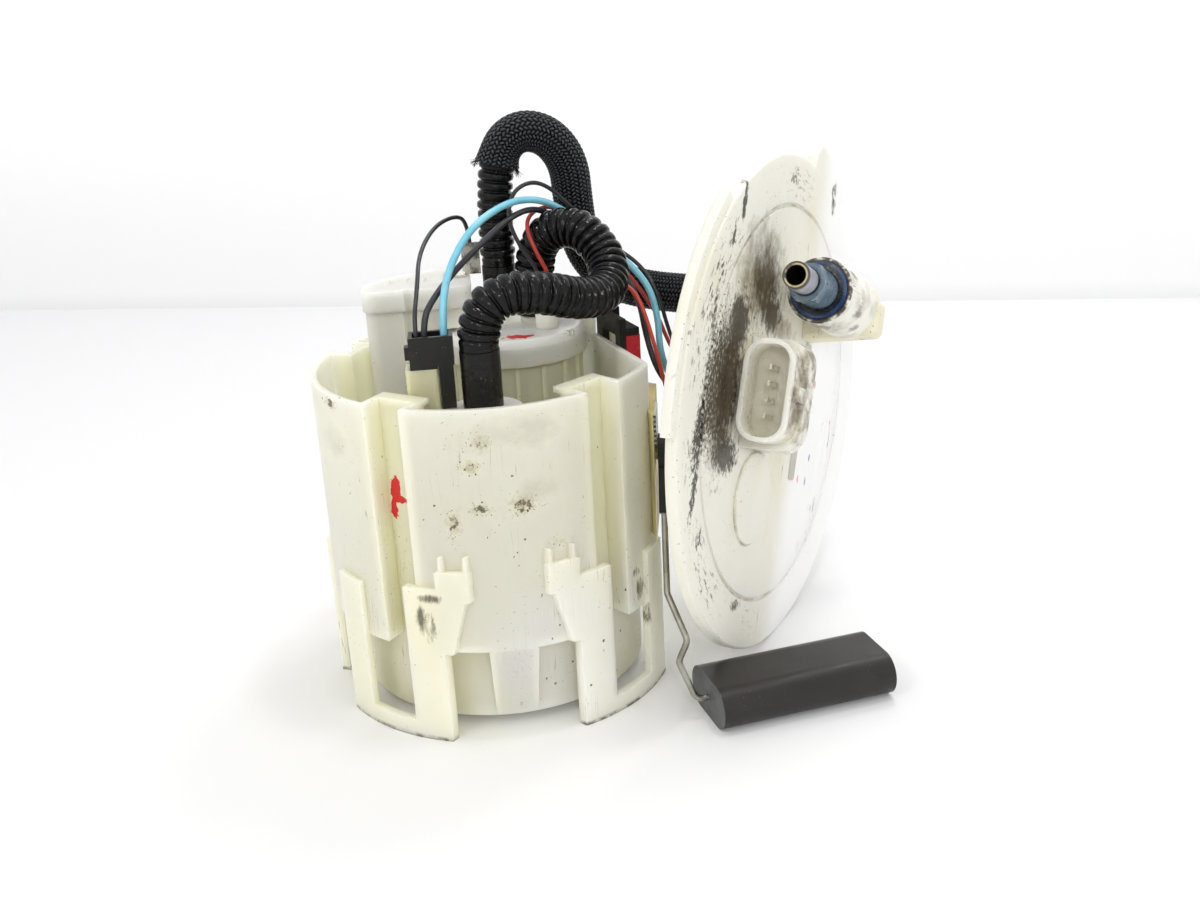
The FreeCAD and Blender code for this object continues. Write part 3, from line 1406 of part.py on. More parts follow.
def main():
    parts = {
        "swirl_pot": make_pot(),
        "inlet_valve": make_inlet_valve(),
        "pump_holder": make_pump_holder(),
        "pump_strainer": make_strainer(),
        "pump_case": make_can(),
        "pump_inlet_plate": make_inlet_plate(),
        "pump_middle_plate": make_middle_plate(),
        "pump_rotor": make_rotor(),
        "pump_impeller": make_impeller(),
        "pump_magnets": make_magnets(),
        "pump_outlet_cover": make_outlet_cover(),
        "pump_brushes": make_brushes(),
        "pump_check_valve": make_check_valve(),
        "pump_isolators": make_isolators(),
        "pump_cap": make_cap(),
        "front_cuff": make_cuff(front_nipple_x, front_nipple_y, regulator_top, front_cuff_top),
        "rear_cuff": make_cuff(rear_nipple_x, rear_nipple_y, cap_top + cap_boss_height, rear_cuff_top),
        "feed_cuff": make_cuff(feed_nipple_x, feed_nipple_y, feed_cuff_bottom, feed_cuff_top,
                              feed_cuff_radius),
        "filter_housing": make_filter_housing(),
        "filter_lid": make_filter_lid(),
        "filter_element": make_filter_element(),
        "regulator_tower": make_regulator_tower(),
        "regulator_can": make_regulator_can(),
        "regulator_valve": make_regulator_valve(),
        "regulator_spring": make_regulator_spring(),
        "jet_pump": make_jet_pump(),
        "connector_tower": make_tower(),
        "pump_plug": make_plug(),
        "ground_blade": make_blade(),
        "sender_housing": make_sender_housing(),
        "sender_card": make_sender_card(),
        "sender_bracket": make_sender_bracket(),
        "sender_clip": make_sender_clip(),
        "sender_tab": make_sender_tab(),
        "sender_rod": make_sender_rod(),
        "arm_holder": make_arm_holder().cut(make_arm_groove()),
        "float_arm": make_float_arm(),
        "float": make_float(),
        "tank_cover": make_cover(),
        "cover_seal": make_cover_seal(),
        "under_cuff": make_under_cuff(),
        "under_plug": make_under_plug(),
        "outlet_housing": make_outlet_housing(),
        "stub_tube": make_stub(),
        "retainer_ring": make_retainer(),
        "release_sleeve": make_release(),
        "outlet_seals": make_outlet_seals(),
        "electrical_socket": make_socket(),
        "socket_pins": on_cover(pin_row()),
        "label_strip": make_label(),
        "transfer_hose": cord("transfer_hose", above_rim(transfer_route), transfer_radius),
        "feed_hose": cord("feed_hose", feed_path(), feed_radius),
        "braided_sleeve": make_sleeve(),
        "blue_wire": cord("blue_wire", wire_route(blue_route, "blue"), thick_wire),
        "black_wire": cord("black_wire", wire_route(black_route, "black"), thick_wire),
        "signal_wire": cord("signal_wire", wire_route(signal_route, "signal"), thin_wire),
        "red_wire": cord("red_wire", wire_route(red_route, "red"), thin_wire),
        "orange_wire": cord("orange_wire", wire_route(orange_route, "orange"), thin_wire),
        "ground_wire": cord("ground_wire", above_rim(ground_route), thin_wire),
    }
    os.makedirs("parts", exist_ok=True)
    for name, shape in parts.items():
        shape.exportStep("parts/" + name + ".step")
        print(name, len(shape.Solids), "solid", shape.isValid(), round(shape.Volume))


main()
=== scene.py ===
# %% [markdown]
# A used fuel pump module from a car's tank is dressed here, cell by cell.
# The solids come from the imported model, so every measure below is a real one, in metres.
# The plastics, metals and rubbers keep their solids and get a finish; hoses, braid and wires are made anew,
# because a hose's folds and a braid's strands are shapes that only a dense mesh can carry.

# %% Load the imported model
import bpy
import math
import random
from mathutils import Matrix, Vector


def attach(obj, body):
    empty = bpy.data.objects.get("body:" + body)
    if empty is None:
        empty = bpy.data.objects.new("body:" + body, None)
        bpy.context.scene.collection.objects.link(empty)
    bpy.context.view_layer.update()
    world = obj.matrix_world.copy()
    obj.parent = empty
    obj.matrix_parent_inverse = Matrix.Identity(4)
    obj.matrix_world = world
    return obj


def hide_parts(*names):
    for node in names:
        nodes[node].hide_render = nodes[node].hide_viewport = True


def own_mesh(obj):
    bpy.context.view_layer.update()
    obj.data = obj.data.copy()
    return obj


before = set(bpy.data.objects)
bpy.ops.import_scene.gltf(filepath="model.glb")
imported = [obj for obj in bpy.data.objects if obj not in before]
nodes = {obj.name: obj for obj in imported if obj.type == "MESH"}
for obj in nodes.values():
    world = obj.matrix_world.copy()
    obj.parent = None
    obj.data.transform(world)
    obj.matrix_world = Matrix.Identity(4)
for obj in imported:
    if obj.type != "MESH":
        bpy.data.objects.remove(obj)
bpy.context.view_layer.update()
for spare in ("Cube", "Light", "Camera"):
    if spare in bpy.data.objects:
        bpy.data.objects.remove(bpy.data.objects[spare])
print("solids to dress:", len(nodes))

# %% [markdown]
# The camera stands where the photographer stood: a little above the pot's rim, half a metre away.
# A camera is a matrix, so its three axes are worked out from yaw, pitch and roll and set as columns.
# That is steadier than aiming it at a target, because the small roll of the real camera stays in.

# %% Camera
eye = Vector((0.001484, -0.435891, 0.233162))
yaw, pitch, roll = math.radians(4.649), math.radians(19.963), math.radians(3.086)
ahead = Vector((math.sin(yaw) * math.cos(pitch), math.cos(yaw) * math.cos(pitch), -math.sin(pitch)))
level_right = Vector((math.cos(yaw), -math.sin(yaw), 0))
level_down = ahead.cross(level_right)
right = level_right * math.cos(roll) + level_down * math.sin(roll)
down = level_down * math.cos(roll) - level_right * math.sin(roll)
lens = bpy.data.cameras.new("studio_camera")
lens.lens = 41.09
lens.sensor_width = 36.0
lens.clip_start = 0.01
camera = bpy.data.objects.new("studio_camera", lens)
bpy.context.collection.objects.link(camera)
columns = (right, -down, -ahead)
for row in range(3):
    for column in range(3):
        camera.matrix_world[row][column] = columns[column][row]
    camera.matrix_world[row][3] = eye[row]
bpy.context.scene.camera = camera
print("camera height", round(eye.z, 3), "m")

# %% [markdown]
# The colours below are noted as a picture shows them, from 0 to 255.
# A shader works with linear light, so one small function turns the one into the other.

# %% Colours
def linear(red, green, blue):
    """Linear colour of 0 to 255 values, with full alpha."""
    values = []
    for value in (red, green, blue):
        share = value / 255
        values.append(share / 12.92 if share <= 0.04045 else ((share + 0.055) / 1.055) ** 2.4)
    return (*values, 1.0)


print("white plastic in linear light:", [round(v, 2) for v in linear(236, 234, 218)])

# %% [markdown]
# A finish is a graph of nodes, and most graphs below need the same few kinds. Each helper makes one node,
# fills its inputs with sockets or plain values, and hands back the output that is wanted.

# %% Node helpers
def add_node(tree, kind, **settings):
    """New node with its settings."""
    node = tree.nodes.new(kind)
    for name, value in settings.items():
        setattr(node, name, value)
    return node


def fill(tree, sockets, values):
    """Links from sockets, or plain values, put into a node's inputs."""
    for socket, value in zip(sockets, values):
        if isinstance(value, bpy.types.NodeSocket):
            tree.links.new(value, socket)
        elif value is not None:
            socket.default_value = value


def math_node(tree, operation, first, second=None, clamp=False):
    """Output of a math node whose inputs are sockets or numbers."""
    node = add_node(tree, "ShaderNodeMath", operation=operation, use_clamp=clamp)
    fill(tree, node.inputs, (first, second))
    return node.outputs[0]


def vector_node(tree, operation, first, second=None):
    """Output of a vector math node; a dot product or a length is a number."""
    node = add_node(tree, "ShaderNodeVectorMath", operation=operation)
    fill(tree, node.inputs, (first, second))
    return node.outputs["Value" if operation in ("DOT_PRODUCT", "LENGTH") else "Vector"]


def split_node(tree, place):
    """The three shares X, Y and Z of a place."""
    node = add_node(tree, "ShaderNodeSeparateXYZ")
    tree.links.new(place, node.inputs["Vector"])
    return node.outputs


def join_node(tree, shares):
    """Place joined from its shares."""
    node = add_node(tree, "ShaderNodeCombineXYZ")
    fill(tree, node.inputs, shares)
    return node.outputs["Vector"]


def ramp_node(tree, value, low, high, start=0.0, end=1.0):
    """Value moved smoothly from one range to another."""
    node = add_node(tree, "ShaderNodeMapRange", interpolation_type="SMOOTHSTEP")
    names = ("Value", "From Min", "From Max", "To Min", "To Max")
    fill(tree, [node.inputs[name] for name in names], (value, low, high, start, end))
    return node.outputs["Result"]


def mix_node(tree, factor, first, second):
    """Colour mixed from two colours or sockets by a mask."""
    node = add_node(tree, "ShaderNodeMix", data_type="RGBA")
    fill(tree, (node.inputs["Factor"], node.inputs[6], node.inputs[7]), (factor, first, second))
    return node.outputs[2]


def noise_node(tree, place, scale, detail=4.0, roughness=0.55):
    """Value of a noise over a place."""
    node = add_node(tree, "ShaderNodeTexNoise")
    names = ("Vector", "Scale", "Detail", "Roughness")
    fill(tree, [node.inputs[name] for name in names], (place, scale, detail, roughness))
    return node.outputs["Fac"]


print("node helpers ready")

# %% [markdown]
# The object stands on a white table in front of a white wall, and the wall's foot is painted a little
# grey, as painted shade along the seam between them. Both are plain planes. Their white comes from a glow
# that only the camera, gloss and glass see, so the table never lights the object more than the lamps do,
# and it keeps its soft shadow.

# %% Table and wall
def stage_material(name, colour, glow_low, glow_high, seam_shade_share=1.0):
    """White ground that keeps shadows, glows a little more with height and can be painted darker at its foot as
    painted shade.
    """
    material = bpy.data.materials.new(name)
    material.use_nodes = True
    tree = material.node_tree
    shader = tree.nodes["Principled BSDF"]
    shader.inputs["Roughness"].default_value = 0.7
    shader.inputs["Specular IOR Level"].default_value = 0.2
    shader.inputs["Emission Color"].default_value = colour
    paths = add_node(tree, "ShaderNodeLightPath")
    seen = math_node(tree, "ADD", paths.outputs["Is Camera Ray"], paths.outputs["Is Glossy Ray"])
    seen = math_node(tree, "ADD", seen, paths.outputs["Is Transmission Ray"], clamp=True)
    height = split_node(tree, add_node(tree, "ShaderNodeTexCoord").outputs["Object"])["Z"]
    glow = ramp_node(tree, height, 0.0, 0.22, glow_low, glow_high)
    # Painted shade: within 14 mm of the table the colour is darkened by its seam share, for the grey line at the
    # seam.
    seam = ramp_node(tree, height, 0.0005, 0.014)
    seam_shade_colour = tuple(value * seam_shade_share for value in colour[:3]) + (1.0,)
    tree.links.new(mix_node(tree, seam, seam_shade_colour, colour), shader.inputs["Base Color"])
    tree.links.new(math_node(tree, "MULTIPLY", seen, glow), shader.inputs["Emission Strength"])
    return material


def stage_plane(name, corners, material):
    """Flat piece of the studio."""
    mesh = bpy.data.meshes.new(name)
    mesh.from_pydata(corners, [], [range(len(corners))])
    mesh.materials.append(material)
    plane = bpy.data.objects.new(name, mesh)
    bpy.context.collection.objects.link(plane)
    return plane


seam_left = Vector((-0.365, 0.623, 0.0))
seam_right = Vector((0.469, 0.401, 0.0))
along_seam = (seam_right - seam_left).normalized()
seam_start = seam_left - along_seam * 4
seam_end = seam_right + along_seam * 4
towards_camera = Vector((-along_seam.y, along_seam.x, 0)) * -6
wall_top = Vector((0, 0, 4))
stage_plane("table", [seam_start, seam_start + towards_camera, seam_end + towards_camera, seam_end],
            stage_material("white_table", (0.84, 0.84, 0.848, 1), 0.015, 0.015))
# The wall's share of 0.93 is its painted shade at the seam.
stage_plane("wall", [seam_start, seam_end, seam_end + wall_top, seam_start + wall_top],
            stage_material("white_wall", (0.83, 0.83, 0.832, 1), 0.06, 0.21, 0.93))
print("seam runs", round(math.degrees(math.atan2(along_seam.y, along_seam.x)), 1), "degrees off the X axis")

# %% [markdown]
# A product photo like this has one lamp overhead, two from the front and one from behind. They are small,
# so they give the hoses their sparkle, and the white world fills the shadows from all sides.

# %% Lamps and world
def area_lamp(name, place, target, size, power):
    """Square softbox that looks at a target."""
    data = bpy.data.lights.new(name, "AREA")
    data.size = size
    data.energy = power
    lamp = bpy.data.objects.new(name, data)
    lamp.location = place
    lamp.rotation_euler = (Vector(target) - Vector(place)).to_track_quat("-Z", "Y").to_euler()
    bpy.context.collection.objects.link(lamp)


area_lamp("overhead_lamp", (0.25, -0.05, 1.1), (0.03, 0.0, 0.08), 0.12, 1.5)
area_lamp("front_left_lamp", (-0.7, -0.7, 0.95), (0.02, 0.0, 0.08), 0.12, 1.5)
area_lamp("front_lamp", (0.05, -1.0, 0.62), (0.05, 0.0, 0.08), 0.12, 1.8)
area_lamp("back_lamp", (0.28, 0.30, 0.75), (0.03, 0.0, 0.08), 0.16, 0.9)
world = bpy.data.worlds.new("studio")
world.use_nodes = True
sky = world.node_tree.nodes["Background"]
sky.inputs["Color"].default_value = (1, 1, 1, 1)
sky.inputs["Strength"].default_value = 0.95
bpy.context.scene.world = world
bpy.context.scene.view_settings.view_transform = "Standard"
print("lamps:", len(bpy.data.lights))

# %% [markdown]
# Effects that many finishes share are node groups. A group takes a place on the piece and gives back
# a mask or a height; each material mixes its own colours with them. The first group holds fine dirt:
# tiny dark grains, thrown by a cell texture, that gather where a slow noise is high.

# %% Group: fine dirt
def start_group(name, inputs, outputs):
    """Empty shader group with named inputs and outputs."""
    group = bpy.data.node_groups.new(name, "ShaderNodeTree")
    for label, kind, value in inputs:
        socket = group.interface.new_socket(name=label, in_out="INPUT", socket_type=kind)
        if value is not None:
            socket.default_value = value
    for label, kind in outputs:
        group.interface.new_socket(name=label, in_out="OUTPUT", socket_type=kind)
    return group, group.nodes.new("NodeGroupInput").outputs, group.nodes.new("NodeGroupOutput").inputs


def make_fine_dirt():
    """Grains of dirt that gather in patches."""
    group, given, result = start_group(
        "fine_dirt",
        [("Place", "NodeSocketVector", None), ("Scale", "NodeSocketFloat", 600.0),
         ("Amount", "NodeSocketFloat", 0.2), ("Patch Scale", "NodeSocketFloat", 30.0)],
        [("Mask", "NodeSocketFloat")])
    wobble = add_node(group, "ShaderNodeTexNoise")
    wobble.inputs["Scale"].default_value = 1500
    group.links.new(given["Place"], wobble.inputs["Vector"])
    shift = add_node(group, "ShaderNodeVectorMath", operation="SCALE")
    shift.inputs["Scale"].default_value = 0.0009
    group.links.new(wobble.outputs["Color"], shift.inputs[0])
    moved = vector_node(group, "ADD", given["Place"], shift.outputs["Vector"])
    cells = add_node(group, "ShaderNodeTexVoronoi")
    group.links.new(moved, cells.inputs["Vector"])
    group.links.new(given["Scale"], cells.inputs["Scale"])
    chance = add_node(group, "ShaderNodeSeparateColor")
    group.links.new(cells.outputs["Color"], chance.inputs["Color"])
    reach = math_node(group, "MULTIPLY", math_node(group, "POWER", chance.outputs["Green"], 2.5), 0.34)
    reach = math_node(group, "ADD", reach, 0.08)
    grain = math_node(group, "SUBTRACT", reach, cells.outputs["Distance"])
    grain = math_node(group, "MULTIPLY", grain, 14.0, clamp=True)
    chosen = math_node(group, "LESS_THAN", chance.outputs["Red"], given["Amount"])
    gathered = ramp_node(group, noise_node(group, given["Place"], given["Patch Scale"], 2.0, 0.5), 0.46, 0.6)
    mask = math_node(group, "MULTIPLY", math_node(group, "MULTIPLY", grain, chosen), gathered)
    group.links.new(mask, result["Mask"])
    return group


fine_dirt = make_fine_dirt()
print("group", fine_dirt.name)

# %% [markdown]
# Greasy smears and paint dabs have a place, a reach and a broken outline. Distance from the centre,
# divided by the reach along each axis, gives a soft blob; a noise eats into it. A low contrast leaves
# a dusty smear, a high one leaves the crisp edge of paint. A streak below one draws the noise out, as a
# brush or a cloth does.

# %% Group: smudge
def make_smudge():
    """Blob with a broken outline."""
    group, given, result = start_group(
        "smudge",
        [("Place", "NodeSocketVector", None), ("Centre", "NodeSocketVector", None),
         ("Reach", "NodeSocketVector", (0.01, 0.01, 0.01)), ("Grain", "NodeSocketFloat", 200.0),
         ("Density", "NodeSocketFloat", 0.6), ("Contrast", "NodeSocketFloat", 2.5),
         ("Streak", "NodeSocketVector", (1.0, 1.0, 1.0))],
        [("Mask", "NodeSocketFloat")])
    offset = vector_node(group, "SUBTRACT", given["Place"], given["Centre"])
    distance = vector_node(group, "LENGTH", vector_node(group, "DIVIDE", offset, given["Reach"]))
    soft = ramp_node(group, distance, 1.0, 0.15)
    drawn_out = vector_node(group, "MULTIPLY", given["Place"], given["Streak"])
    noise = noise_node(group, drawn_out, given["Grain"], 5.0, 0.65)
    eaten = math_node(group, "MULTIPLY", math_node(group, "SUBTRACT", noise, 0.5), 2.4)
    level = math_node(group, "ADD", math_node(group, "ADD", soft, eaten), given["Density"])
    level = math_node(group, "MULTIPLY", math_node(group, "SUBTRACT", level, 1.0), given["Contrast"], clamp=True)
    inside = ramp_node(group, distance, 1.15, 0.95)
    group.links.new(math_node(group, "MULTIPLY", level, inside), result["Mask"])
    return group


smudge = make_smudge()
print("group", smudge.name)

# %% [markdown]
# Handling leaves thin lines. A noise stretched a hundred times along one direction has long contour
# lines; only the narrow band around its middle value is kept, and a second noise breaks it up.

# %% Group: scratches
def make_scratches():
    """Thin broken lines along one direction."""
    group, given, result = start_group(
        "scratches",
        [("Place", "NodeSocketVector", None), ("Stretch", "NodeSocketVector", (400.0, 400.0, 12.0)),
         ("Width", "NodeSocketFloat", 0.006), ("Patch Scale", "NodeSocketFloat", 60.0)],
        [("Mask", "NodeSocketFloat")])
    stretched = vector_node(group, "MULTIPLY", given["Place"], given["Stretch"])
    lines = noise_node(group, stretched, 1.0, 1.0)
    offset = math_node(group, "ABSOLUTE", math_node(group, "SUBTRACT", lines, 0.5))
    line = math_node(group, "LESS_THAN", offset, given["Width"])
    broken = ramp_node(group, noise_node(group, given["Place"], given["Patch Scale"], 2.0, 0.5), 0.56, 0.66)
    group.links.new(math_node(group, "MULTIPLY", line, broken), result["Mask"])
    return group


scratches = make_scratches()
print("group", scratches.name)

# %% [markdown]
# A braid is two families of strands that wind round the tube in opposite screws. Here each strand goes
# over two of the others and under two, which gives the rows of chevrons on the real sleeve. With the
# number of strands passed as one coordinate round the tube, and one along it, the sum of the two
# strands' numbers says which family is on top; the strand's round back and its dive give the height.

# %% Group: woven strands
def make_woven_strands():
    """Height of a braid in which each strand floats over two others."""
    group, given, result = start_group(
        "woven_strands", [("Turn", "NodeSocketFloat", 0.0), ("Run", "NodeSocketFloat", 0.0)],
        [("Height", "NodeSocketFloat")])
    first = math_node(group, "SUBTRACT", given["Turn"], given["Run"])
    second = math_node(group, "ADD", given["Turn"], given["Run"])
    first_number = math_node(group, "FLOOR", first)
    second_number = math_node(group, "FLOOR", second)
    count = math_node(group, "FLOORED_MODULO", math_node(group, "ADD", first_number, second_number), 4.0)
    heights = []
    families = ((first, first_number, second, 0.0), (second, second_number, first, 2.0))
    for own, own_number, other, start in families:
        across = math_node(group, "SUBTRACT", own, own_number)
        back = math_node(group, "MULTIPLY", across, math_node(group, "SUBTRACT", 1.0, across))
        back = math_node(group, "SQRT", math_node(group, "MULTIPLY", back, 4.0))
        along = math_node(group, "FLOORED_MODULO", math_node(group, "ADD", own_number, other), 4.0)
        along = math_node(group, "MULTIPLY", math_node(group, "SUBTRACT", along, start), math.pi / 2)
        dive = math_node(group, "ADD", math_node(group, "MULTIPLY", math_node(group, "SINE", along), 0.6), 0.4)
        thread = math_node(group, "SINE", math_node(group, "MULTIPLY", across, 8 * math.pi))
        body = math_node(group, "MULTIPLY", back, dive)
        heights.append(math_node(group, "ADD", body, math_node(group, "MULTIPLY", thread, 0.05)))
    first_on_top = math_node(group, "LESS_THAN", count, 1.5)
    upper = math_node(group, "MULTIPLY", heights[0], first_on_top)
    lower = math_node(group, "MULTIPLY", heights[1], math_node(group, "SUBTRACT", 1.0, first_on_top))
    group.links.new(math_node(group, "ADD", upper, lower), result["Height"])
    return group


woven_strands = make_woven_strands()
print("group", woven_strands.name)

# %% [markdown]
# A moulded skin is never quite flat: a fine grain from the tool and slow waves where it cooled.
# The group gives one height, and each material sends it into its own Bump node.

# %% Group: moulded skin
def make_moulded_skin():
    """Height of a moulded surface."""
    group, given, result = start_group(
        "moulded_skin",
        [("Place", "NodeSocketVector", None), ("Grain", "NodeSocketFloat", 1800.0),
         ("Grain Share", "NodeSocketFloat", 0.15), ("Waves", "NodeSocketFloat", 70.0)],
        [("Height", "NodeSocketFloat")])
    fine, slow = (noise_node(group, given["Place"], given[scale], 2.0, 0.5) for scale in ("Grain", "Waves"))
    grain = math_node(group, "MULTIPLY", fine, given["Grain Share"])
    group.links.new(math_node(group, "ADD", grain, slow), result["Height"])
    return group


moulded_skin = make_moulded_skin()
print("group", moulded_skin.name)

# %% [markdown]
# The round cover leans on its edge and is turned, so its dirt is easier to place in the cover's own
# frame: across the face, up the face and out of it. One group turns the module's frame into that one.

# %% Group: place on the cover
cover_centre = Vector((0.09942, 0.00299, 0.0844))
cover_across = Vector((0.49753, 0.76615, -0.40674))
cover_up = Vector((0.22152, 0.34112, 0.91355))
cover_out = Vector((0.83867, -0.54464, 0.0))


def make_cover_place():
    """Place in the cover's own frame."""
    group, given, result = start_group(
        "cover_place", [("Place", "NodeSocketVector", None)], [("Place", "NodeSocketVector")])
    offset = vector_node(group, "SUBTRACT", given["Place"], cover_centre)
    axes = (cover_across, cover_up, cover_out)
    shares = [vector_node(group, "DOT_PRODUCT", offset, axis) for axis in axes]
    group.links.new(join_node(group, shares), result["Place"])
    return group


cover_place = make_cover_place()
print("group", cover_place.name)

# %% [markdown]
# Every finish below starts the same way: a Principled shader and the piece's own coordinates.
# A small class keeps the colour that is being built, so dirt, smears and paint are laid on in order,
# as they came onto the real part.

# %% A finish that is built in layers
class Finish:
    """Material whose colour is laid on in layers."""

    def __init__(self, name, colour, roughness=0.5, metallic=0.0, specular=0.5):
        self.material = bpy.data.materials.new(name)
        self.material.use_nodes = True
        self.tree = self.material.node_tree
        self.shader = self.tree.nodes["Principled BSDF"]
        self.shader.inputs["Metallic"].default_value = metallic
        self.shader.inputs["Specular IOR Level"].default_value = specular
        self.place = add_node(self.tree, "ShaderNodeTexCoord").outputs["Object"]
        self.colour = colour
        self.rough = roughness
        self.clear = None

    def group(self, group, **settings):
        """First output of a group that is given settings."""
        node = add_node(self.tree, "ShaderNodeGroup", node_tree=group)
        self.tree.links.new(self.place, node.inputs["Place"])
        for name, value in settings.items():
            node.inputs[name.replace("_", " ")].default_value = value
        return node.outputs[0]

    def noise(self, scale, low, high, detail=4.0):
        """Mask from a noise."""
        return ramp_node(self.tree, noise_node(self.tree, self.place, scale, detail), low, high)

    def stain(self, scale, low, high, colour, strength):
        """Colour laid on in clouds."""
        self.layer(self.noise(scale, low, high), colour, strength)

    def specks(self, scale, amount, patch_scale):
        """Mask of fine dirt."""
        return self.group(fine_dirt, Scale=scale, Amount=amount, Patch_Scale=patch_scale)

    def lines(self, stretch, width, patch_scale):
        """Mask of thin scratches."""
        return self.group(scratches, Stretch=stretch, Width=width, Patch_Scale=patch_scale)

    def blob(self, centre, reach, grain, density, contrast, streak=(1.0, 1.0, 1.0)):
        """Mask of one smear or dab."""
        return self.group(smudge, Centre=centre, Reach=reach, Grain=grain, Density=density,
                          Contrast=contrast, Streak=streak)

    def parts(self):
        """The place's three shares, X, Y and Z."""
        return split_node(self.tree, self.place)

    def ramp(self, value, low, high):
        """Mask that rises between two values."""
        return ramp_node(self.tree, value, low, high)

    def times(self, first, second):
        """Product of two masks."""
        return math_node(self.tree, "MULTIPLY", first, second)

    def minus(self, first, second):
        """Difference of two values."""
        return math_node(self.tree, "SUBTRACT", first, second)

    def distance(self, first, second):
        """Length of the diagonal over two sides."""
        squares = math_node(self.tree, "ADD", self.times(first, first), self.times(second, second))
        return math_node(self.tree, "SQRT", squares)

    def layer(self, mask, colour, strength=1.0):
        """Colour laid over what is there."""
        if strength < 1.0:
            mask = self.times(mask, strength)
        self.colour = mix_node(self.tree, mask, self.colour, colour)
        return mask

    def dirt(self, mask, colour, strength=1.0):
        """Layer that also keeps light from sinking into the plastic below."""
        mask = self.layer(mask, colour, strength)
        bare = self.minus(1.0, mask)
        self.clear = bare if self.clear is None else self.times(self.clear, bare)

    def bump(self, height, distance, strength=1.0):
        """Relief from a height."""
        node = add_node(self.tree, "ShaderNodeBump")
        node.inputs["Distance"].default_value = distance
        node.inputs["Strength"].default_value = strength
        self.tree.links.new(height, node.inputs["Height"])
        self.tree.links.new(node.outputs["Normal"], self.shader.inputs["Normal"])

    def skin(self, grain, share, waves, depth, strength):
        """Relief of a moulded skin."""
        self.bump(self.group(moulded_skin, Grain=grain, Grain_Share=share, Waves=waves), depth, strength)

    def sheen(self, scale, low, high, upper=0.7):
        """Roughness that changes over the surface."""
        self.rough = ramp_node(self.tree, self.noise(scale, 0.3, upper), 0.0, 1.0, low, high)

    def done(self):
        """Material with its colour and roughness joined."""
        inputs = self.shader.inputs
        fill(self.tree, (inputs["Base Color"], inputs["Roughness"]), (self.colour, self.rough))
        return self.material


print("layers ready")

# %% [markdown]
# Milky plastic lets light in and out again a little further on, which is why it looks soft. Where dirt
# covers it the light stays out, so the share of this effect is taken from what is still clear.

# %% Light inside the plastic
def soft_depth(finish, weight, scale, radius=(0.92, 0.95, 1.0)):
    """Light that enters a milky plastic and leaves a little further on, where no dirt covers it."""
    if finish.clear is not None:
        weight = finish.times(finish.clear, weight)
    sockets = [finish.shader.inputs["Subsurface " + name] for name in ("Weight", "Scale", "Radius")]
    fill(finish.tree, sockets, (weight, scale, radius))


dirt_brown = linear(50, 38, 20)
print("dirt in linear light:", [round(v, 3) for v in dirt_brown])

# %% [markdown]
# The swirl pot is milky acetal and is yellower in the channels, under the step and inside. The distance
# from the pot's axis tells outside panels from the walls further in, so one ramp over that distance gives
# the yellow its place on every side of the pot.

# %% Places and specks on the pot
def from_axis(finish):
    """Distance from the pot's axis."""
    parts = finish.parts()
    return finish.distance(parts["X"], parts["Y"]), parts


def speck_patch(finish, centre, reach, density=0.3):
    """Patch of fine black specks on a faint brown veil."""
    veil = finish.blob(centre, reach, 420, density + 0.25, 1.0)
    finish.dirt(veil, linear(140, 122, 78), 0.65)
    near = finish.blob(centre, reach, 300, density + 0.7, 3.0)
    for scale, amount in ((480, 0.45), (800, 0.6), (1200, 0.85), (2100, 0.9)):
        grains = finish.specks(scale, amount, 700)
        finish.dirt(finish.times(grains, near), dirt_brown, 0.95)
    core = finish.blob(centre, reach, 620, density - 0.26, 6.0)
    finish.dirt(core, linear(56, 42, 20), 0.85)


print("patch maker ready")

# %% [markdown]
# Four short lists say where the pot is soiled. Every row has a place and a reach in metres; patches add
# how dense they are, smears also their grain and how crisp their outline is. Grey clouds lie under the
# rim, dark specks down the front, greasy smears at the foot and a dab of red paint on the left.

# %% Where the pot is soiled
pot_clouds = [
    ((0.0080, -0.0550, 0.1020), (0.0280, 0.012, 0.0090)),
    ((-0.0480, -0.0290, 0.0960), (0.0090, 0.012, 0.0090)),
    ((0.0120, -0.0550, 0.0830), (0.0120, 0.012, 0.0060)),
]
pot_patches = [
    ((-0.0025, -0.0558, 0.1000), (0.0060, 0.006, 0.0060), 0.18),
    ((-0.0065, -0.0557, 0.0925), (0.0060, 0.006, 0.0040), 0.22),
    ((0.0085, -0.0555, 0.0792), (0.0075, 0.006, 0.0050), 0.42),
    ((-0.0040, -0.0555, 0.0790), (0.0070, 0.006, 0.0035), 0.30),
    ((-0.0125, -0.0548, 0.0745), (0.0045, 0.006, 0.0080), 0.28),
    ((0.0185, -0.0530, 0.0650), (0.0040, 0.006, 0.0040), 0.05),
    ((-0.0477, -0.0293, 0.1075), (0.0060, 0.006, 0.0030), 0.35),
]
pot_smears = [
    ((-0.0230, -0.0536, 0.0500), (0.0075, 0.006, 0.0026), 420, 0.66, 1.6),
    ((-0.0255, -0.0530, 0.0425), (0.0030, 0.006, 0.0085), 420, 0.55, 1.6),
    ((-0.0225, -0.0530, 0.0400), (0.0060, 0.006, 0.0105), 700, 0.22, 1.8),
    ((0.0455, -0.0345, 0.0375), (0.0034, 0.006, 0.0075), 500, 0.62, 1.8),
    ((0.0468, -0.0330, 0.0265), (0.0030, 0.006, 0.0080), 500, 0.55, 1.8),
    ((0.0440, -0.0365, 0.0440), (0.0030, 0.006, 0.0050), 700, 0.35, 1.8),
]
pot_dabs = [
    ((-0.0300, -0.0375, 0.0800), (0.0026, 0.0045, 0.0052)),
    ((-0.0312, -0.0375, 0.0745), (0.0017, 0.0045, 0.0040)),
    ((-0.0285, -0.0375, 0.0775), (0.0030, 0.0045, 0.0022)),
]
print("soiled places on the pot:", len(pot_clouds + pot_patches + pot_smears + pot_dabs))
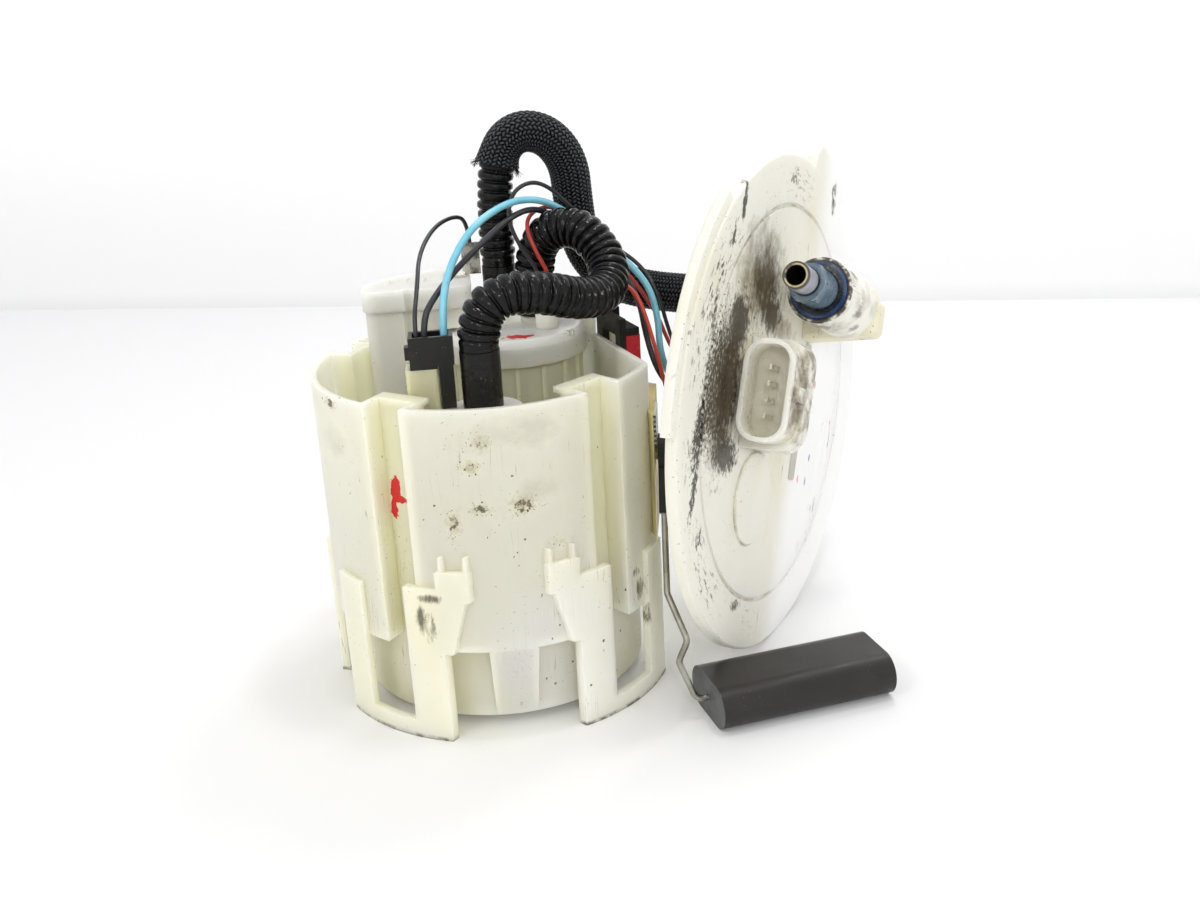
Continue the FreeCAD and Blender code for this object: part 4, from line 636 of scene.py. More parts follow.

# %% [markdown]
# The layers go on as they came onto the real pot, after a yellower tone on the inner walls and painted
# light that makes the right side lighter: clouds and scratches, then fine dirt, specks, smears and the dirt
# that the table left on the low edge.

# %% Finish: swirl pot
def make_pot_finish():
    """Yellowish milky plastic with dirt, one paint dab and a right side painted lighter as painted light."""
    finish = Finish("pot_plastic_worn", linear(242, 238, 208), 0.42)
    distance, parts = from_axis(finish)
    sheltered = finish.ramp(distance, 0.0535, 0.0485)
    finish.layer(sheltered, linear(250, 245, 196), 0.85)
    # Painted light: the right side, from 30 to 46 mm along X, is painted lighter, standing in for light that the
    # cover blocks there.
    finish.layer(finish.ramp(parts["X"], 0.030, 0.046), linear(253, 251, 218), 0.85)
    finish.stain(26, 0.5, 0.72, linear(229, 226, 194), 0.45)
    finish.stain(11, 0.48, 0.68, linear(246, 245, 236), 0.7)
    for centre, reach in pot_clouds:
        cloud = finish.blob(centre, reach, 110, 0.75, 1.0)
        finish.layer(cloud, linear(196, 194, 180), 0.7)
    lines = finish.lines((500, 500, 14), 0.005, 45)
    finish.layer(lines, linear(170, 166, 138), 0.6)
    finish.dirt(finish.specks(800, 0.07, 24), dirt_brown, 0.9)
    finish.dirt(finish.specks(2000, 0.10, 40), dirt_brown, 0.7)
    for patch in pot_patches:
        speck_patch(finish, *patch)
    wiped_upwards = (1.0, 1.0, 0.3)
    for smear in pot_smears:
        finish.dirt(finish.blob(*smear, wiped_upwards), linear(58, 50, 36), 0.85)
    low_edge = finish.ramp(parts["Z"], 0.0018, 0.0003)
    edge_break = finish.noise(160, 0.42, 0.6)
    finish.dirt(finish.times(low_edge, edge_break), linear(40, 34, 22), 0.85)
    for centre, reach in pot_dabs:
        dab = finish.blob(centre, reach, 230, 0.78, 14.0)
        finish.dirt(dab, linear(205, 30, 36))
    finish.sheen(60, 0.34, 0.52)
    finish.skin(2200, 0.12, 55, 0.0005, 0.35)
    soft_depth(finish, 1.0, 0.011)
    return finish.done()


pot_finish = make_pot_finish()
print("finish", pot_finish.name)

# %% [markdown]
# The other moulded pieces in the pot are close relatives: the same plastic with another age.
# One function makes them all from a colour, a second colour for the cloudy stains and the dirt's share.

# %% Finishes: cap, holder, filter and towers
def make_moulding(name, colour, stain, dirt=0.12, roughness=(0.36, 0.54), depth=0.85, dabs=()):
    """Milky moulding with clouds of stain and fine dirt."""
    finish = Finish(name, colour)
    finish.stain(35, 0.45, 0.7, stain, 0.7)
    finish.layer(finish.lines((420, 420, 30), 0.005, 70), stain, 0.6)
    finish.dirt(finish.specks(1400, dirt, 60), dirt_brown, 0.8)
    for *shape, paint in dabs:
        finish.dirt(finish.blob(*shape), paint)
    finish.sheen(90, *roughness)
    finish.skin(2400, 0.15, 90, 0.0004, 0.3)
    soft_depth(finish, depth, 0.010)
    return finish.done()


red_paint = linear(208, 42, 44)
cap_dabs = [
    ((0.0122, 0.0020, 0.1155), (0.0062, 0.0030, 0.004), 320, 0.78, 14.0, red_paint),
    ((0.0040, 0.0000, 0.1155), (0.0090, 0.0070, 0.004), 900, 0.22, 1.6, linear(120, 116, 100)),
    ((0.0300, 0.0020, 0.1155), (0.0060, 0.0080, 0.004), 900, 0.20, 1.6, linear(120, 116, 100)),
]
cap_finish = make_moulding("cap_plastic", linear(250, 250, 232), linear(238, 238, 212), 0.18, (0.32, 0.5), 1.0,
                           cap_dabs)
holder_finish = make_moulding("holder_plastic", linear(228, 228, 196), linear(216, 214, 174), 0.05)
filter_finish = make_moulding("filter_plastic", linear(252, 251, 230), linear(244, 241, 208), 0.1)
lid_finish = make_moulding("lid_plastic", linear(242, 241, 230), linear(230, 228, 206), 0.08)
tower_finish = make_moulding("tower_plastic", linear(224, 218, 170), linear(212, 204, 150), 0.06)
column_finish = make_moulding("column_plastic", linear(240, 239, 228), linear(230, 228, 208), 0.1)
tab_finish = make_moulding("tab_plastic", linear(226, 220, 178), linear(212, 204, 158), 0.08)
amber_finish = make_moulding("amber_plastic", linear(204, 184, 112), linear(186, 164, 92), 0.1)
clip_finish = make_moulding("red_clip_plastic", linear(190, 24, 44), linear(160, 16, 36), 0.1, (0.25, 0.4), 0.1)
print("mouldings: 9")

# %% [markdown]
# The cover's face is the dirtiest place. Years of dust and oil lie beside the socket and under the fuel
# outlet, where hands never wiped it off. Two kinds of smear overlap there: a dense dark one close to the
# socket and a thin grainy one around it. The outer band has long scratches from the locking ring.

# %% Places on the cover
def in_cover_frame(finish):
    """Give a finish the cover's own frame and its three separate shares."""
    finish.place = finish.group(cover_place)
    return finish.parts()


def flat_polar(finish, centre=(0.0, 0.0)):
    """Distance and angle round a centre on the cover's face."""
    parts = finish.parts()
    across = finish.minus(parts["X"], centre[0])
    up = finish.minus(parts["Y"], centre[1])
    return finish.distance(across, up), math_node(finish.tree, "ARCTAN2", up, across)


def between(finish, value, low, high, soft):
    """Mask that is full between two values."""
    rising = finish.ramp(value, low - soft, low + soft)
    return finish.times(rising, finish.ramp(value, high + soft, high - soft))


print("places on the cover ready")

# %% [markdown]
# Dirt settles in round grooves, and the locking ring has dragged it into streaks along the outer band.
# The streaks are a noise that is read in unrolled places, distance one way and angle the other.

# %% Dirt that follows the cover's circles
def ring_dirt(finish, ring, colour, strength):
    """Dirt that has settled in a round groove or along a round edge."""
    centre, inner, outer = ring
    distance, _ = flat_polar(finish, centre)
    mask = between(finish, distance, inner, outer, 0.0004)
    finish.dirt(finish.times(mask, finish.noise(75, 0.38, 0.6)), colour, strength)


def band_streaks(finish):
    """Streaks along the outer band, where the locking ring turned."""
    distance, angle = flat_polar(finish)
    unrolled = join_node(finish.tree, (finish.times(distance, 700.0), finish.times(angle, 14.0)))
    streaks = finish.ramp(noise_node(finish.tree, unrolled, 1.0, 6.0, 0.7), 0.53, 0.6)
    patches = finish.noise(24, 0.42, 0.54)
    band = between(finish, distance, 0.0700, 0.0800, 0.0015)
    return finish.times(finish.times(streaks, patches), band)


cover_groove = ((0.0, 0.0), 0.0671, 0.0679)
small_boss = ((-0.0144, -0.0332), 0.0154, 0.0161)
print("circles on the cover: 2")

# %% [markdown]
# Two lists hold the smears on the cover, in its own frame: thin veils first, denser grease after. A row
# has a place, a reach, the grain, the density, how crisp the outline is, and a colour. Five pen dots mark
# the clean side, as an inspection leaves them.

# %% Where the cover is soiled
cover_veils = [
    ((-0.0540, -0.0020, 0.0), (0.0240, 0.0440, 0.02), 140, 0.55, 1.0, linear(146, 134, 100)),
    ((-0.0420, 0.0300, 0.0), (0.0260, 0.0220, 0.02), 160, 0.50, 1.0, linear(158, 148, 116)),
    ((-0.0330, 0.0400, 0.0), (0.0290, 0.0230, 0.02), 180, 0.78, 1.0, linear(116, 106, 80)),
    ((-0.0080, 0.0250, 0.0), (0.0240, 0.0075, 0.02), 200, 0.66, 1.0, linear(126, 114, 86)),
]
cover_grease = [
    ((-0.0490, -0.0010, 0.0), (0.0130, 0.0330, 0.02), 420, 0.92, 1.5, linear(58, 42, 14)),
    ((-0.0580, 0.0000, 0.0), (0.0220, 0.0430, 0.02), 900, 0.44, 2.6, linear(48, 36, 14)),
    ((-0.0470, 0.0210, 0.0), (0.0140, 0.0140, 0.02), 500, 0.76, 2.0, linear(60, 50, 32)),
    ((-0.0440, -0.0210, 0.0), (0.0180, 0.0100, 0.02), 600, 0.66, 2.2, linear(52, 43, 26)),
    ((-0.0290, 0.0360, 0.0), (0.0200, 0.0180, 0.02), 420, 0.84, 1.3, linear(80, 68, 42)),
    ((-0.0190, 0.0280, 0.0), (0.0130, 0.0080, 0.02), 420, 0.95, 1.6, linear(70, 58, 34)),
    ((-0.0560, 0.0570, 0.0), (0.0030, 0.0120, 0.02), 420, 0.52, 3.0, linear(44, 38, 28)),
    ((-0.0610, 0.0450, 0.0), (0.0020, 0.0090, 0.02), 600, 0.40, 3.0, linear(60, 54, 40)),
    ((-0.0670, -0.0170, 0.0), (0.0090, 0.0240, 0.02), 650, 0.40, 3.0, linear(42, 34, 20)),
    ((-0.0650, -0.0340, 0.0), (0.0040, 0.0190, 0.02), 700, 0.42, 3.0, linear(44, 36, 22)),
    ((-0.0560, -0.0480, 0.0), (0.0050, 0.0090, 0.02), 700, 0.20, 3.0, linear(56, 48, 32)),
    ((-0.0680, 0.0200, 0.0), (0.0040, 0.0200, 0.02), 650, 0.25, 2.6, linear(70, 62, 46)),
    ((-0.0160, -0.0690, 0.0), (0.0100, 0.0040, 0.02), 600, 0.40, 1.8, linear(66, 58, 42)),
    ((-0.0150, 0.0745, 0.0), (0.0100, 0.0040, 0.02), 600, 0.30, 2.2, linear(80, 72, 54)),
    ((0.0290, 0.0790, 0.0), (0.0050, 0.0110, 0.02), 420, 0.50, 1.8, linear(70, 62, 46)),
]
pen_dots = [
    ((0.0363, 0.0114, 0.0), linear(230, 130, 120)),
    ((0.0330, 0.0060, 0.0), linear(236, 160, 150)),
    ((0.0310, -0.0240, 0.0), linear(232, 140, 130)),
    ((0.0410, -0.0150, 0.0), linear(96, 96, 170)),
    ((0.0395, -0.0240, 0.0), linear(140, 140, 196)),
]
print("smears on the cover:", len(cover_veils + cover_grease))

# %% [markdown]
# The cover is cream on the greasy side, and its other side is painted whiter as painted light. A mask that
# is full only on the outer face keeps dirt and ink off the underside, which faces the tank.

# %% Finish: tank cover
def make_cover_finish():
    """Whitish cover with grease, scratches and pen dots."""
    finish = Finish("cover_plastic_worn", linear(230, 228, 216), specular=0.3)
    parts = in_cover_frame(finish)
    finish.stain(22, 0.48, 0.7, linear(224, 219, 195), 0.7)
    facing = finish.ramp(parts["Z"], -0.0030, -0.0020)
    # Painted light: the side away from the socket is painted whiter, for the stronger light that falls on it.
    painted_light_side = finish.ramp(parts["X"], 0.010, 0.030)
    finish.layer(painted_light_side, linear(246, 246, 245), 0.9)
    brushed = (1.0, 0.7, 1.0)
    for smears, strength in ((cover_veils, 0.85), (cover_grease, 0.94)):
        for *shape, colour in smears:
            finish.dirt(finish.times(finish.blob(*shape, brushed), facing), colour, strength)
    left_dirt = finish.times(facing, finish.ramp(parts["X"], 0.012, -0.02))
    settled = linear(150, 139, 100)
    ring_dirt(finish, cover_groove, settled, 0.7)
    ring_dirt(finish, small_boss, settled, 0.6)
    finish.dirt(finish.times(band_streaks(finish), left_dirt), linear(72, 62, 42), 0.9)
    for scale, patch_scale, strength in ((850, 26, 0.9), (1700, 40, 0.7)):
        specks = finish.specks(scale, 0.25, patch_scale)
        finish.dirt(finish.times(specks, left_dirt), dirt_brown, strength)
    lines = finish.lines((420, 30, 40), 0.008, 26)
    finish.layer(finish.times(lines, facing), linear(112, 104, 84), 0.7)
    for centre, ink in pen_dots:
        pen_dot = finish.blob(centre, (0.0012, 0.0022, 0.01), 500, 0.7, 6.0)
        finish.dirt(finish.times(pen_dot, facing), ink, 0.8)
    finish.sheen(70, 0.38, 0.6)
    finish.skin(1900, 0.15, 60, 0.0005, 0.35)
    soft_depth(finish, 0.7, 0.006)
    return finish.done()


cover_finish = make_cover_finish()
print("finish", cover_finish.name)

# %% [markdown]
# The fuel outlet shares the cover's plastic, but has its own dirt. Its mouth is painted dark brown inside,
# part dirt and part painted shade, and the elbow behind it has stayed clean and yellow. The cover's frame
# is used here too, so the colours follow the part's axis and not the room's.

# %% Finish: fuel outlet
outlet_up, outlet_out = 0.0374, 0.0145


def from_outlet_axis(finish, parts):
    """Distance from the fuel outlet's axis."""
    up = finish.minus(parts["Y"], outlet_up)
    return finish.distance(up, finish.minus(parts["Z"], outlet_out))


def make_outlet_finish():
    """Scuffed white barrel with a mouth painted dark brown by dirt and painted shade, and a yellow elbow."""
    finish = Finish("outlet_plastic", linear(240, 238, 226), 0.45)
    parts = in_cover_frame(finish)
    finish.stain(120, 0.45, 0.65, linear(190, 186, 168), 0.6)
    finish.layer(finish.ramp(parts["X"], 0.0125, 0.0150), linear(232, 226, 196), 0.95)
    finish.layer(finish.lines((60, 500, 500), 0.012, 90), linear(96, 90, 74), 0.7)
    finish.dirt(finish.specks(1500, 0.3, 90), dirt_brown, 0.8)
    under = finish.blob((-0.010, 0.0270, 0.012), (0.014, 0.005, 0.012), 350, 0.6, 1.8)
    finish.dirt(under, linear(104, 92, 66), 0.85)
    for centre, reach in (((-0.0040, 0.0330, 0.0230), (0.0080, 0.0050, 0.0060)),
                          ((0.0040, 0.0290, 0.0200), (0.0060, 0.0040, 0.0060)),
                          ((-0.0100, 0.0440, 0.0230), (0.0060, 0.0060, 0.0050))):
        scuff = finish.blob(centre, reach, 260, 0.55, 1.8, (0.3, 1.0, 1.0))
        finish.dirt(scuff, linear(92, 88, 76), 0.75)
    distance = from_outlet_axis(finish, parts)
    # Part dirt, part painted shade: the inside of the mouth is painted dark brown.
    mouth = finish.times(finish.ramp(distance, 0.0104, 0.0098), finish.ramp(parts["X"], 0.013, 0.012))
    finish.dirt(mouth, linear(50, 34, 20), 0.95)
    front_edge = finish.times(finish.ramp(parts["X"], -0.0162, -0.0169), finish.noise(420, 0.36, 0.56))
    finish.dirt(front_edge, linear(44, 32, 20), 0.9)
    finish.sheen(90, 0.35, 0.6)
    finish.skin(1900, 0.2, 120, 0.0005, 0.35)
    soft_depth(finish, 0.2, 0.003)
    return finish.done()


outlet_finish = make_outlet_finish()
print("finish", outlet_finish.name)

# %% [markdown]
# The socket is glossier and greyer. Hands on the plug have wiped its crown on one side only, so the grime
# sits on the other, and the collar's inside is painted a little darker as painted shade.

# %% Finish: socket
def make_socket_finish():
    """Greyed collar, dirty on the side away from the grease."""
    finish = Finish("socket_plastic", linear(234, 231, 219), 0.3)
    parts = in_cover_frame(finish)
    finish.stain(60, 0.45, 0.7, linear(206, 202, 182), 0.6)
    # Painted shade: the inside of the collar is painted darker.
    inside = finish.times(finish.ramp(parts["X"], -0.0425, -0.0365), finish.ramp(parts["X"], -0.0335, -0.0340))
    finish.layer(inside, linear(196, 192, 168), 0.5)
    crown = finish.ramp(parts["Z"], 0.0172, 0.0184)
    crown = finish.times(crown, finish.ramp(parts["X"], -0.0432, -0.0412))
    grime = finish.times(crown, finish.noise(190, 0.36, 0.66, 6.0))
    finish.dirt(grime, linear(100, 80, 54), 0.8)
    finish.dirt(finish.specks(1600, 0.2, 90), dirt_brown, 0.8)
    finish.sheen(90, 0.18, 0.36)
    finish.skin(2000, 0.15, 140, 0.0004, 0.3)
    soft_depth(finish, 0.7, 0.005)
    return finish.done()


socket_finish = make_socket_finish()
print("finish", socket_finish.name)

# %% [markdown]
# The broken feed pipe in the outlet is grey outside, with a dark torn rim, a yellow inner layer and a
# bore painted black as painted shade. Distance from its axis and place along it are enough to tell these zones
# apart.
# The ring and the sleeve around it are harder, glossier blue plastics with fine dirt, and painted shade
# darkens them towards the outlet's axis.

# %% Finishes: pipe stub, retaining ring and release sleeve
def make_stub_finish():
    """Layered plastic pipe with a torn end."""
    finish = Finish("pipe_plastic", linear(158, 158, 168), 0.35)
    parts = in_cover_frame(finish)
    finish.stain(240, 0.4, 0.7, linear(128, 128, 138), 0.7)
    distance = from_outlet_axis(finish, parts)
    finish.layer(finish.ramp(parts["X"], -0.0405, -0.0412), linear(58, 46, 34), 0.95)
    lip = finish.times(finish.ramp(distance, 0.0040, 0.0037), finish.noise(300, 0.36, 0.5))
    finish.layer(lip, linear(190, 176, 128))
    # Painted shade: the bore is painted near black.
    bore = finish.ramp(distance, 0.00345, 0.00325)
    finish.layer(bore, linear(22, 18, 14))
    finish.layer(finish.specks(1600, 0.3, 200), linear(70, 62, 56), 0.7)
    finish.sheen(200, 0.28, 0.5)
    finish.skin(3000, 0.3, 300, 0.0003, 0.4)
    return finish.done()


def make_blue_finish(name, colour, second, inner, shade_reach):
    """Glossy blue moulding with painted shade that darkens it towards the outlet's axis."""
    finish = Finish(name, colour, 0.25)
    parts = in_cover_frame(finish)
    finish.stain(160, 0.4, 0.7, second, 0.8)
    distance = from_outlet_axis(finish, parts)
    # Painted shade: the inner colour darkens the part near the outlet's axis.
    finish.layer(finish.ramp(distance, shade_reach, shade_reach - 0.0006), inner)
    finish.layer(finish.specks(1300, 0.3, 160), linear(36, 34, 32), 0.7)
    lines = finish.lines((90, 700, 700), 0.01, 150)
    finish.layer(lines, linear(150, 165, 180), 0.5)
    finish.sheen(150, 0.18, 0.42)
    finish.skin(2600, 0.2, 200, 0.0003, 0.3)
    return finish.done()


stub_finish = make_stub_finish()
ring_finish = make_blue_finish("ring_plastic", linear(30, 62, 110), linear(18, 34, 60),
                               linear(14, 16, 20), 0.0088)
sleeve_finish = make_blue_finish("sleeve_plastic", linear(104, 122, 134), linear(64, 92, 112),
                                 linear(40, 52, 62), 0.0052)
print("outlet pieces: 3")

# %% [markdown]
# Black mouldings are never black in a picture. Dust greys their flats and a fine grain breaks up the
# highlight. Rubber is duller still and slightly wrinkled.

# %% Finishes: black plastic and rubbers
def make_black(name, colour, dust, roughness, grain, relief, dust_share=0.5):
    """Dark moulding or rubber with dust on it."""
    finish = Finish(name, colour, specular=0.25)
    finish.stain(60, 0.42, 0.75, dust, dust_share)
    finish.layer(finish.specks(1500, 0.35, 90), linear(150, 144, 128), 0.35)
    finish.sheen(110, *roughness)
    finish.skin(grain, 0.35, 180, relief, 0.5)
    return finish.done()


black_finish = make_black("black_plastic_dusty", linear(24, 24, 22), linear(48, 47, 43), (0.34, 0.52), 2200,
                          0.0003)
cuff_finish = make_black("cuff_rubber_worn", linear(18, 18, 18), linear(34, 34, 31), (0.16, 0.34), 700, 0.0010)
seal_finish = make_black("seal_rubber_matt", linear(30, 30, 30), linear(52, 50, 46), (0.5, 0.7), 1800, 0.0003)
valve_finish = make_black("valve_rubber_brown", linear(142, 92, 70), linear(118, 74, 56), (0.5, 0.7), 1800,
                          0.0003)
carbon_finish = make_black("brush_carbon", linear(60, 60, 62), linear(84, 84, 86), (0.5, 0.65), 3000, 0.0002)
magnet_finish = make_black("magnet_ferrite", linear(92, 92, 94), linear(70, 70, 74), (0.45, 0.6), 2600, 0.0002)
print("dark mouldings and rubbers: 6")

# %% [markdown]
# The float is cut from a block of closed-cell foam. Its skin is smooth with tiny pits, and the sawn end
# is greyer; where the end begins is worked out along the float's own turned axis.

# %% Finish: foam
float_turn = math.radians(12)
float_end = Vector((0.063, -0.0542, 0))


def make_foam():
    """Closed-cell foam: a smooth skin with tiny pits, greyer where it was cut."""
    finish = Finish("float_foam", linear(33, 29, 28), specular=0.4)
    finish.stain(45, 0.4, 0.72, linear(42, 37, 35), 0.6)
    finish.stain(140, 0.55, 0.75, linear(24, 21, 20), 0.7)
    along_float = Vector((math.cos(float_turn), math.sin(float_turn), 0))
    along = vector_node(finish.tree, "DOT_PRODUCT", finish.place, along_float)
    start = along_float.dot(float_end)
    cut = finish.ramp(along, start + 0.0004, start + 0.0001)
    finish.layer(cut, linear(76, 80, 80), 0.8)
    finish.layer(finish.specks(1700, 0.3, 120), linear(112, 108, 100), 0.35)
    cells = add_node(finish.tree, "ShaderNodeTexVoronoi")
    cells.inputs["Scale"].default_value = 2800
    finish.tree.links.new(finish.place, cells.inputs["Vector"])
    finish.layer(finish.lines((60, 700, 700), 0.008, 60), linear(24, 22, 21), 0.6)
    finish.sheen(90, 0.28, 0.4)
    finish.bump(cells.outputs["Distance"], 0.0002, 0.12)
    return finish.done()


foam_finish = make_foam()
print("finish", foam_finish.name)

# %% [markdown]
# Metals are told apart by how they were worked. The wire and the cans are drawn, so their fine lines run
# along them; the rotor is stacked sheet, so its lines run round. Tarnish takes the shine off in patches.

# %% Finishes: metals
def make_metal(name, colour, tarnish, roughness, stretch, tarnish_share=0.6):
    """Drawn or rolled metal with patches of tarnish."""
    finish = Finish(name, colour, 0.35, 1.0)
    finish.stain(120, 0.45, 0.7, tarnish, tarnish_share)
    finish.layer(finish.lines(stretch, 0.04, 200), tarnish, 0.5)
    finish.sheen(260, *roughness)
    stretched = vector_node(finish.tree, "MULTIPLY", finish.place, stretch)
    finish.bump(noise_node(finish.tree, stretched, 1.0, 3.0), 0.0001, 0.3)
    return finish.done()


steel_finish = make_metal("drawn_steel", linear(176, 176, 170), linear(128, 126, 116), (0.3, 0.5),
                          (2500, 2500, 90))
wire_finish = make_metal("arm_wire_steel", linear(168, 166, 156), linear(116, 112, 98), (0.32, 0.52),
                         (1500, 1500, 400))
rotor_finish = make_metal("stacked_steel", linear(176, 150, 128), linear(130, 106, 88), (0.35, 0.5),
                          (60, 60, 3500))
contact_finish = make_metal("tinned_contact", linear(222, 220, 208), linear(176, 168, 140), (0.14, 0.32),
                            (900, 900, 300))
print("metals: 4")

# %% [markdown]
# Four flat things are left: the pleated paper of the filter, the strainer's woven mesh, the sender's
# printed card and the bare strip on the cover. The first three carry a wave or a weave at its real pitch,
# in relief as well as in colour. The wave texture repeats every 0.314 of its own scaled length.

# %% Finishes: paper, mesh, card and strip
wave_period = 0.314


def wave(finish, direction, pitch, low, high):
    """Mask of even stripes with a pitch."""
    node = add_node(finish.tree, "ShaderNodeTexWave", bands_direction=direction)
    node.inputs["Scale"].default_value = wave_period / pitch
    finish.tree.links.new(finish.place, node.inputs["Vector"])
    return finish.ramp(node.outputs["Fac"], low, high)


def make_striped(name, colour, second, pitch, directions, roughness):
    """Flat good with a repeating relief."""
    finish = Finish(name, colour, roughness)
    height = wave(finish, directions[0], pitch, 0.2, 0.8)
    for direction in directions[1:]:
        height = math_node(finish.tree, "MAXIMUM", height, wave(finish, direction, pitch, 0.2, 0.8))
    # For the paper and the mesh the darker colour in the low parts of the relief is painted shade; for the card
    # it is the printed tracks.
    finish.layer(finish.minus(1.0, height), second, 0.9)
    finish.layer(finish.specks(900, 0.2, 80), dirt_brown, 0.6)
    finish.bump(height, 0.0003, 0.6)
    return finish.done()


paper_finish = make_striped("pleated_paper", linear(226, 210, 160), linear(186, 164, 112), 0.0022, ("X",), 0.8)
mesh_finish = make_striped("strainer_mesh", linear(228, 226, 214), linear(150, 146, 128), 0.0006, ("X", "Y"), 0.6)
card_finish = make_striped("track_card", linear(222, 220, 206), linear(60, 58, 54), 0.0016, ("Z",), 0.35)


def make_strip_finish():
    """Bare bonded strip, a little soiled."""
    finish = Finish("bare_strip", linear(196, 194, 182), 0.5)
    finish.stain(80, 0.4, 0.7, linear(178, 174, 158), 0.7)
    finish.layer(finish.specks(1300, 0.3, 70), dirt_brown, 0.5)
    finish.sheen(90, 0.4, 0.6)
    finish.skin(3000, 0.3, 200, 0.0002, 0.3)
    return finish.done()


strip_finish = make_strip_finish()
print("patterned finishes: 4")

# %% [markdown]
# Every solid that stays gets its finish here, by the name of its node. The print at the end lists the
# nodes that were left out, so no bare solid can slip through unseen.

# %% Give the solids their finishes
finishes = {
    pot_finish: ["swirl_pot"],
    cap_finish: ["pump_cap"],
    holder_finish: ["pump_holder"],
    filter_finish: ["filter_housing"],
    lid_finish: ["filter_lid"],
    tower_finish: ["connector_tower"],
    column_finish: ["regulator_tower"],
    tab_finish: ["sender_tab"],
    amber_finish: ["sender_housing"],
    clip_finish: ["sender_clip"],
    cover_finish: ["tank_cover"],
    outlet_finish: ["outlet_housing"],
    socket_finish: ["electrical_socket"],
    stub_finish: ["stub_tube"],
    ring_finish: ["retainer_ring"],
    sleeve_finish: ["release_sleeve"],
    black_finish: ["pump_plug", "sender_bracket", "arm_holder", "under_plug", "jet_pump", "pump_inlet_plate",
                   "pump_middle_plate", "pump_impeller", "pump_outlet_cover", "pump_check_valve"],
    cuff_finish: ["front_cuff", "rear_cuff", "feed_cuff", "under_cuff"],
    seal_finish: ["pump_isolators", "outlet_seals", "cover_seal"],
    valve_finish: ["inlet_valve"],
    carbon_finish: ["pump_brushes"],
    magnet_finish: ["pump_magnets"],
    foam_finish: ["float"],
    steel_finish: ["pump_case", "regulator_can", "regulator_valve", "regulator_spring", "sender_rod"],
    wire_finish: ["float_arm"],
    rotor_finish: ["pump_rotor"],
    contact_finish: ["ground_blade", "socket_pins"],
    paper_finish: ["filter_element"],
    mesh_finish: ["pump_strainer"],
    card_finish: ["sender_card"],
    strip_finish: ["label_strip"],
}
dressed = set()
for material, names in finishes.items():
    for name in names:
        slots = nodes[name].data.materials
        slots.clear()
        slots.append(material)
        dressed.add(name)
cords = {"transfer_hose", "feed_hose", "braided_sleeve", "blue_wire", "black_wire", "signal_wire", "red_wire",
         "orange_wire", "ground_wire"}
missing = set(nodes) - dressed - cords
print("dressed", len(dressed), "solids, missing", sorted(missing))

# %% [markdown]
# The regulator's spring is the one metal part that changes its length. A copy of its mesh stands for the
# solid, on the module's body.

# %% Regulator spring
spring = nodes["regulator_spring"]
coil = bpy.data.objects.new("regulator_coil", spring.data.copy())
coil.matrix_world = spring.matrix_world
bpy.context.collection.objects.link(coil)
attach(coil, "module")
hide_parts("regulator_spring")
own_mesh(coil)

# %% [markdown]
# The cords come next: two hoses, a braid and six wires. Each route is a short list of points: x, y and
# the height above the pot's rim. A NURBS spline of order three bends smoothly past them, as a hose does.
# Its order is set after the points are there, because a spline without points can't take it.

# %% Routes of the cords
rim = 0.110
transfer_route = [
    (-0.0008, -0.033, 0.012), (-0.0008, -0.033, 0.0205), (0.0055, -0.0322, 0.028), (0.0185, -0.0285, 0.0275),
    (0.032, -0.0195, 0.0215), (0.042, -0.007, 0.0205), (0.0435, 0.005, 0.029), (0.0355, 0.0125, 0.0385),
    (0.0255, 0.0185, 0.0375), (0.0195, 0.0225, 0.028), (0.0195, 0.0225, 0.015),
]
feed_route = [
    (0.0079, 0.03, 0.024), (0.0079, 0.03, 0.034), (0.0082, 0.03, 0.045), (0.0092, 0.03, 0.0565),
    (0.0126, 0.0304, 0.0655), (0.02, 0.0312, 0.0689), (0.0285, 0.0324, 0.0656), (0.0343, 0.0336, 0.0565),
    (0.035, 0.0343, 0.044), (0.0362, 0.0353, 0.032), (0.0402, 0.0372, 0.0215), (0.0485, 0.0375, 0.0135),
    (0.0595, 0.034, 0.0104),
]
blue_route = [
    (-0.0112, -0.03, 0.0125), (-0.0112, -0.03, 0.0235), (-0.0084, -0.022, 0.0346), (-0.0005, -0.011, 0.045),
    (0.0112, 0.005, 0.0492), (0.0213, 0.016, 0.0482), (0.0303, 0.0245, 0.0429), (0.0403, 0.0245, 0.0337),
    (0.0502, 0.024, 0.0248), (0.058, 0.02, 0.016), (0.0606, 0.0165, 0.0055), (0.06, 0.0105, -0.005),
    (0.063, 0.0125, -0.015), (0.0685, 0.0185, -0.0235),
]
black_route = [
    (-0.0172, -0.03, 0.0125), (-0.0172, -0.03, 0.021), (-0.0135, -0.026, 0.027), (-0.006, -0.016, 0.0332),
    (0.002, -0.007, 0.0386), (0.0125, 0.0055, 0.0446), (0.0207, 0.0185, 0.0448), (0.0284, 0.0265, 0.0398),
    (0.0395, 0.0255, 0.0298), (0.049, 0.0215, 0.0215), (0.0543, 0.016, 0.012), (0.0554, 0.01, 0.0005),
    (0.058, 0.0045, -0.0105), (0.0645, 0.0115, -0.0205),
]
signal_route = [
    (0.0209, 0.0124, 0.011), (0.0207, 0.0124, 0.018), (0.0204, 0.0126, 0.0255), (0.015, 0.0115, 0.0334),
    (0.0116, 0.012, 0.0428), (0.0138, 0.0145, 0.051), (0.0206, 0.02, 0.0534), (0.0273, 0.025, 0.0498),
    (0.0359, 0.026, 0.0403), (0.0466, 0.027, 0.029), (0.057, 0.026, 0.021), (0.0618, 0.022, 0.0115),
    (0.0644, 0.0208, 0.0), (0.068, 0.023, -0.011),
]
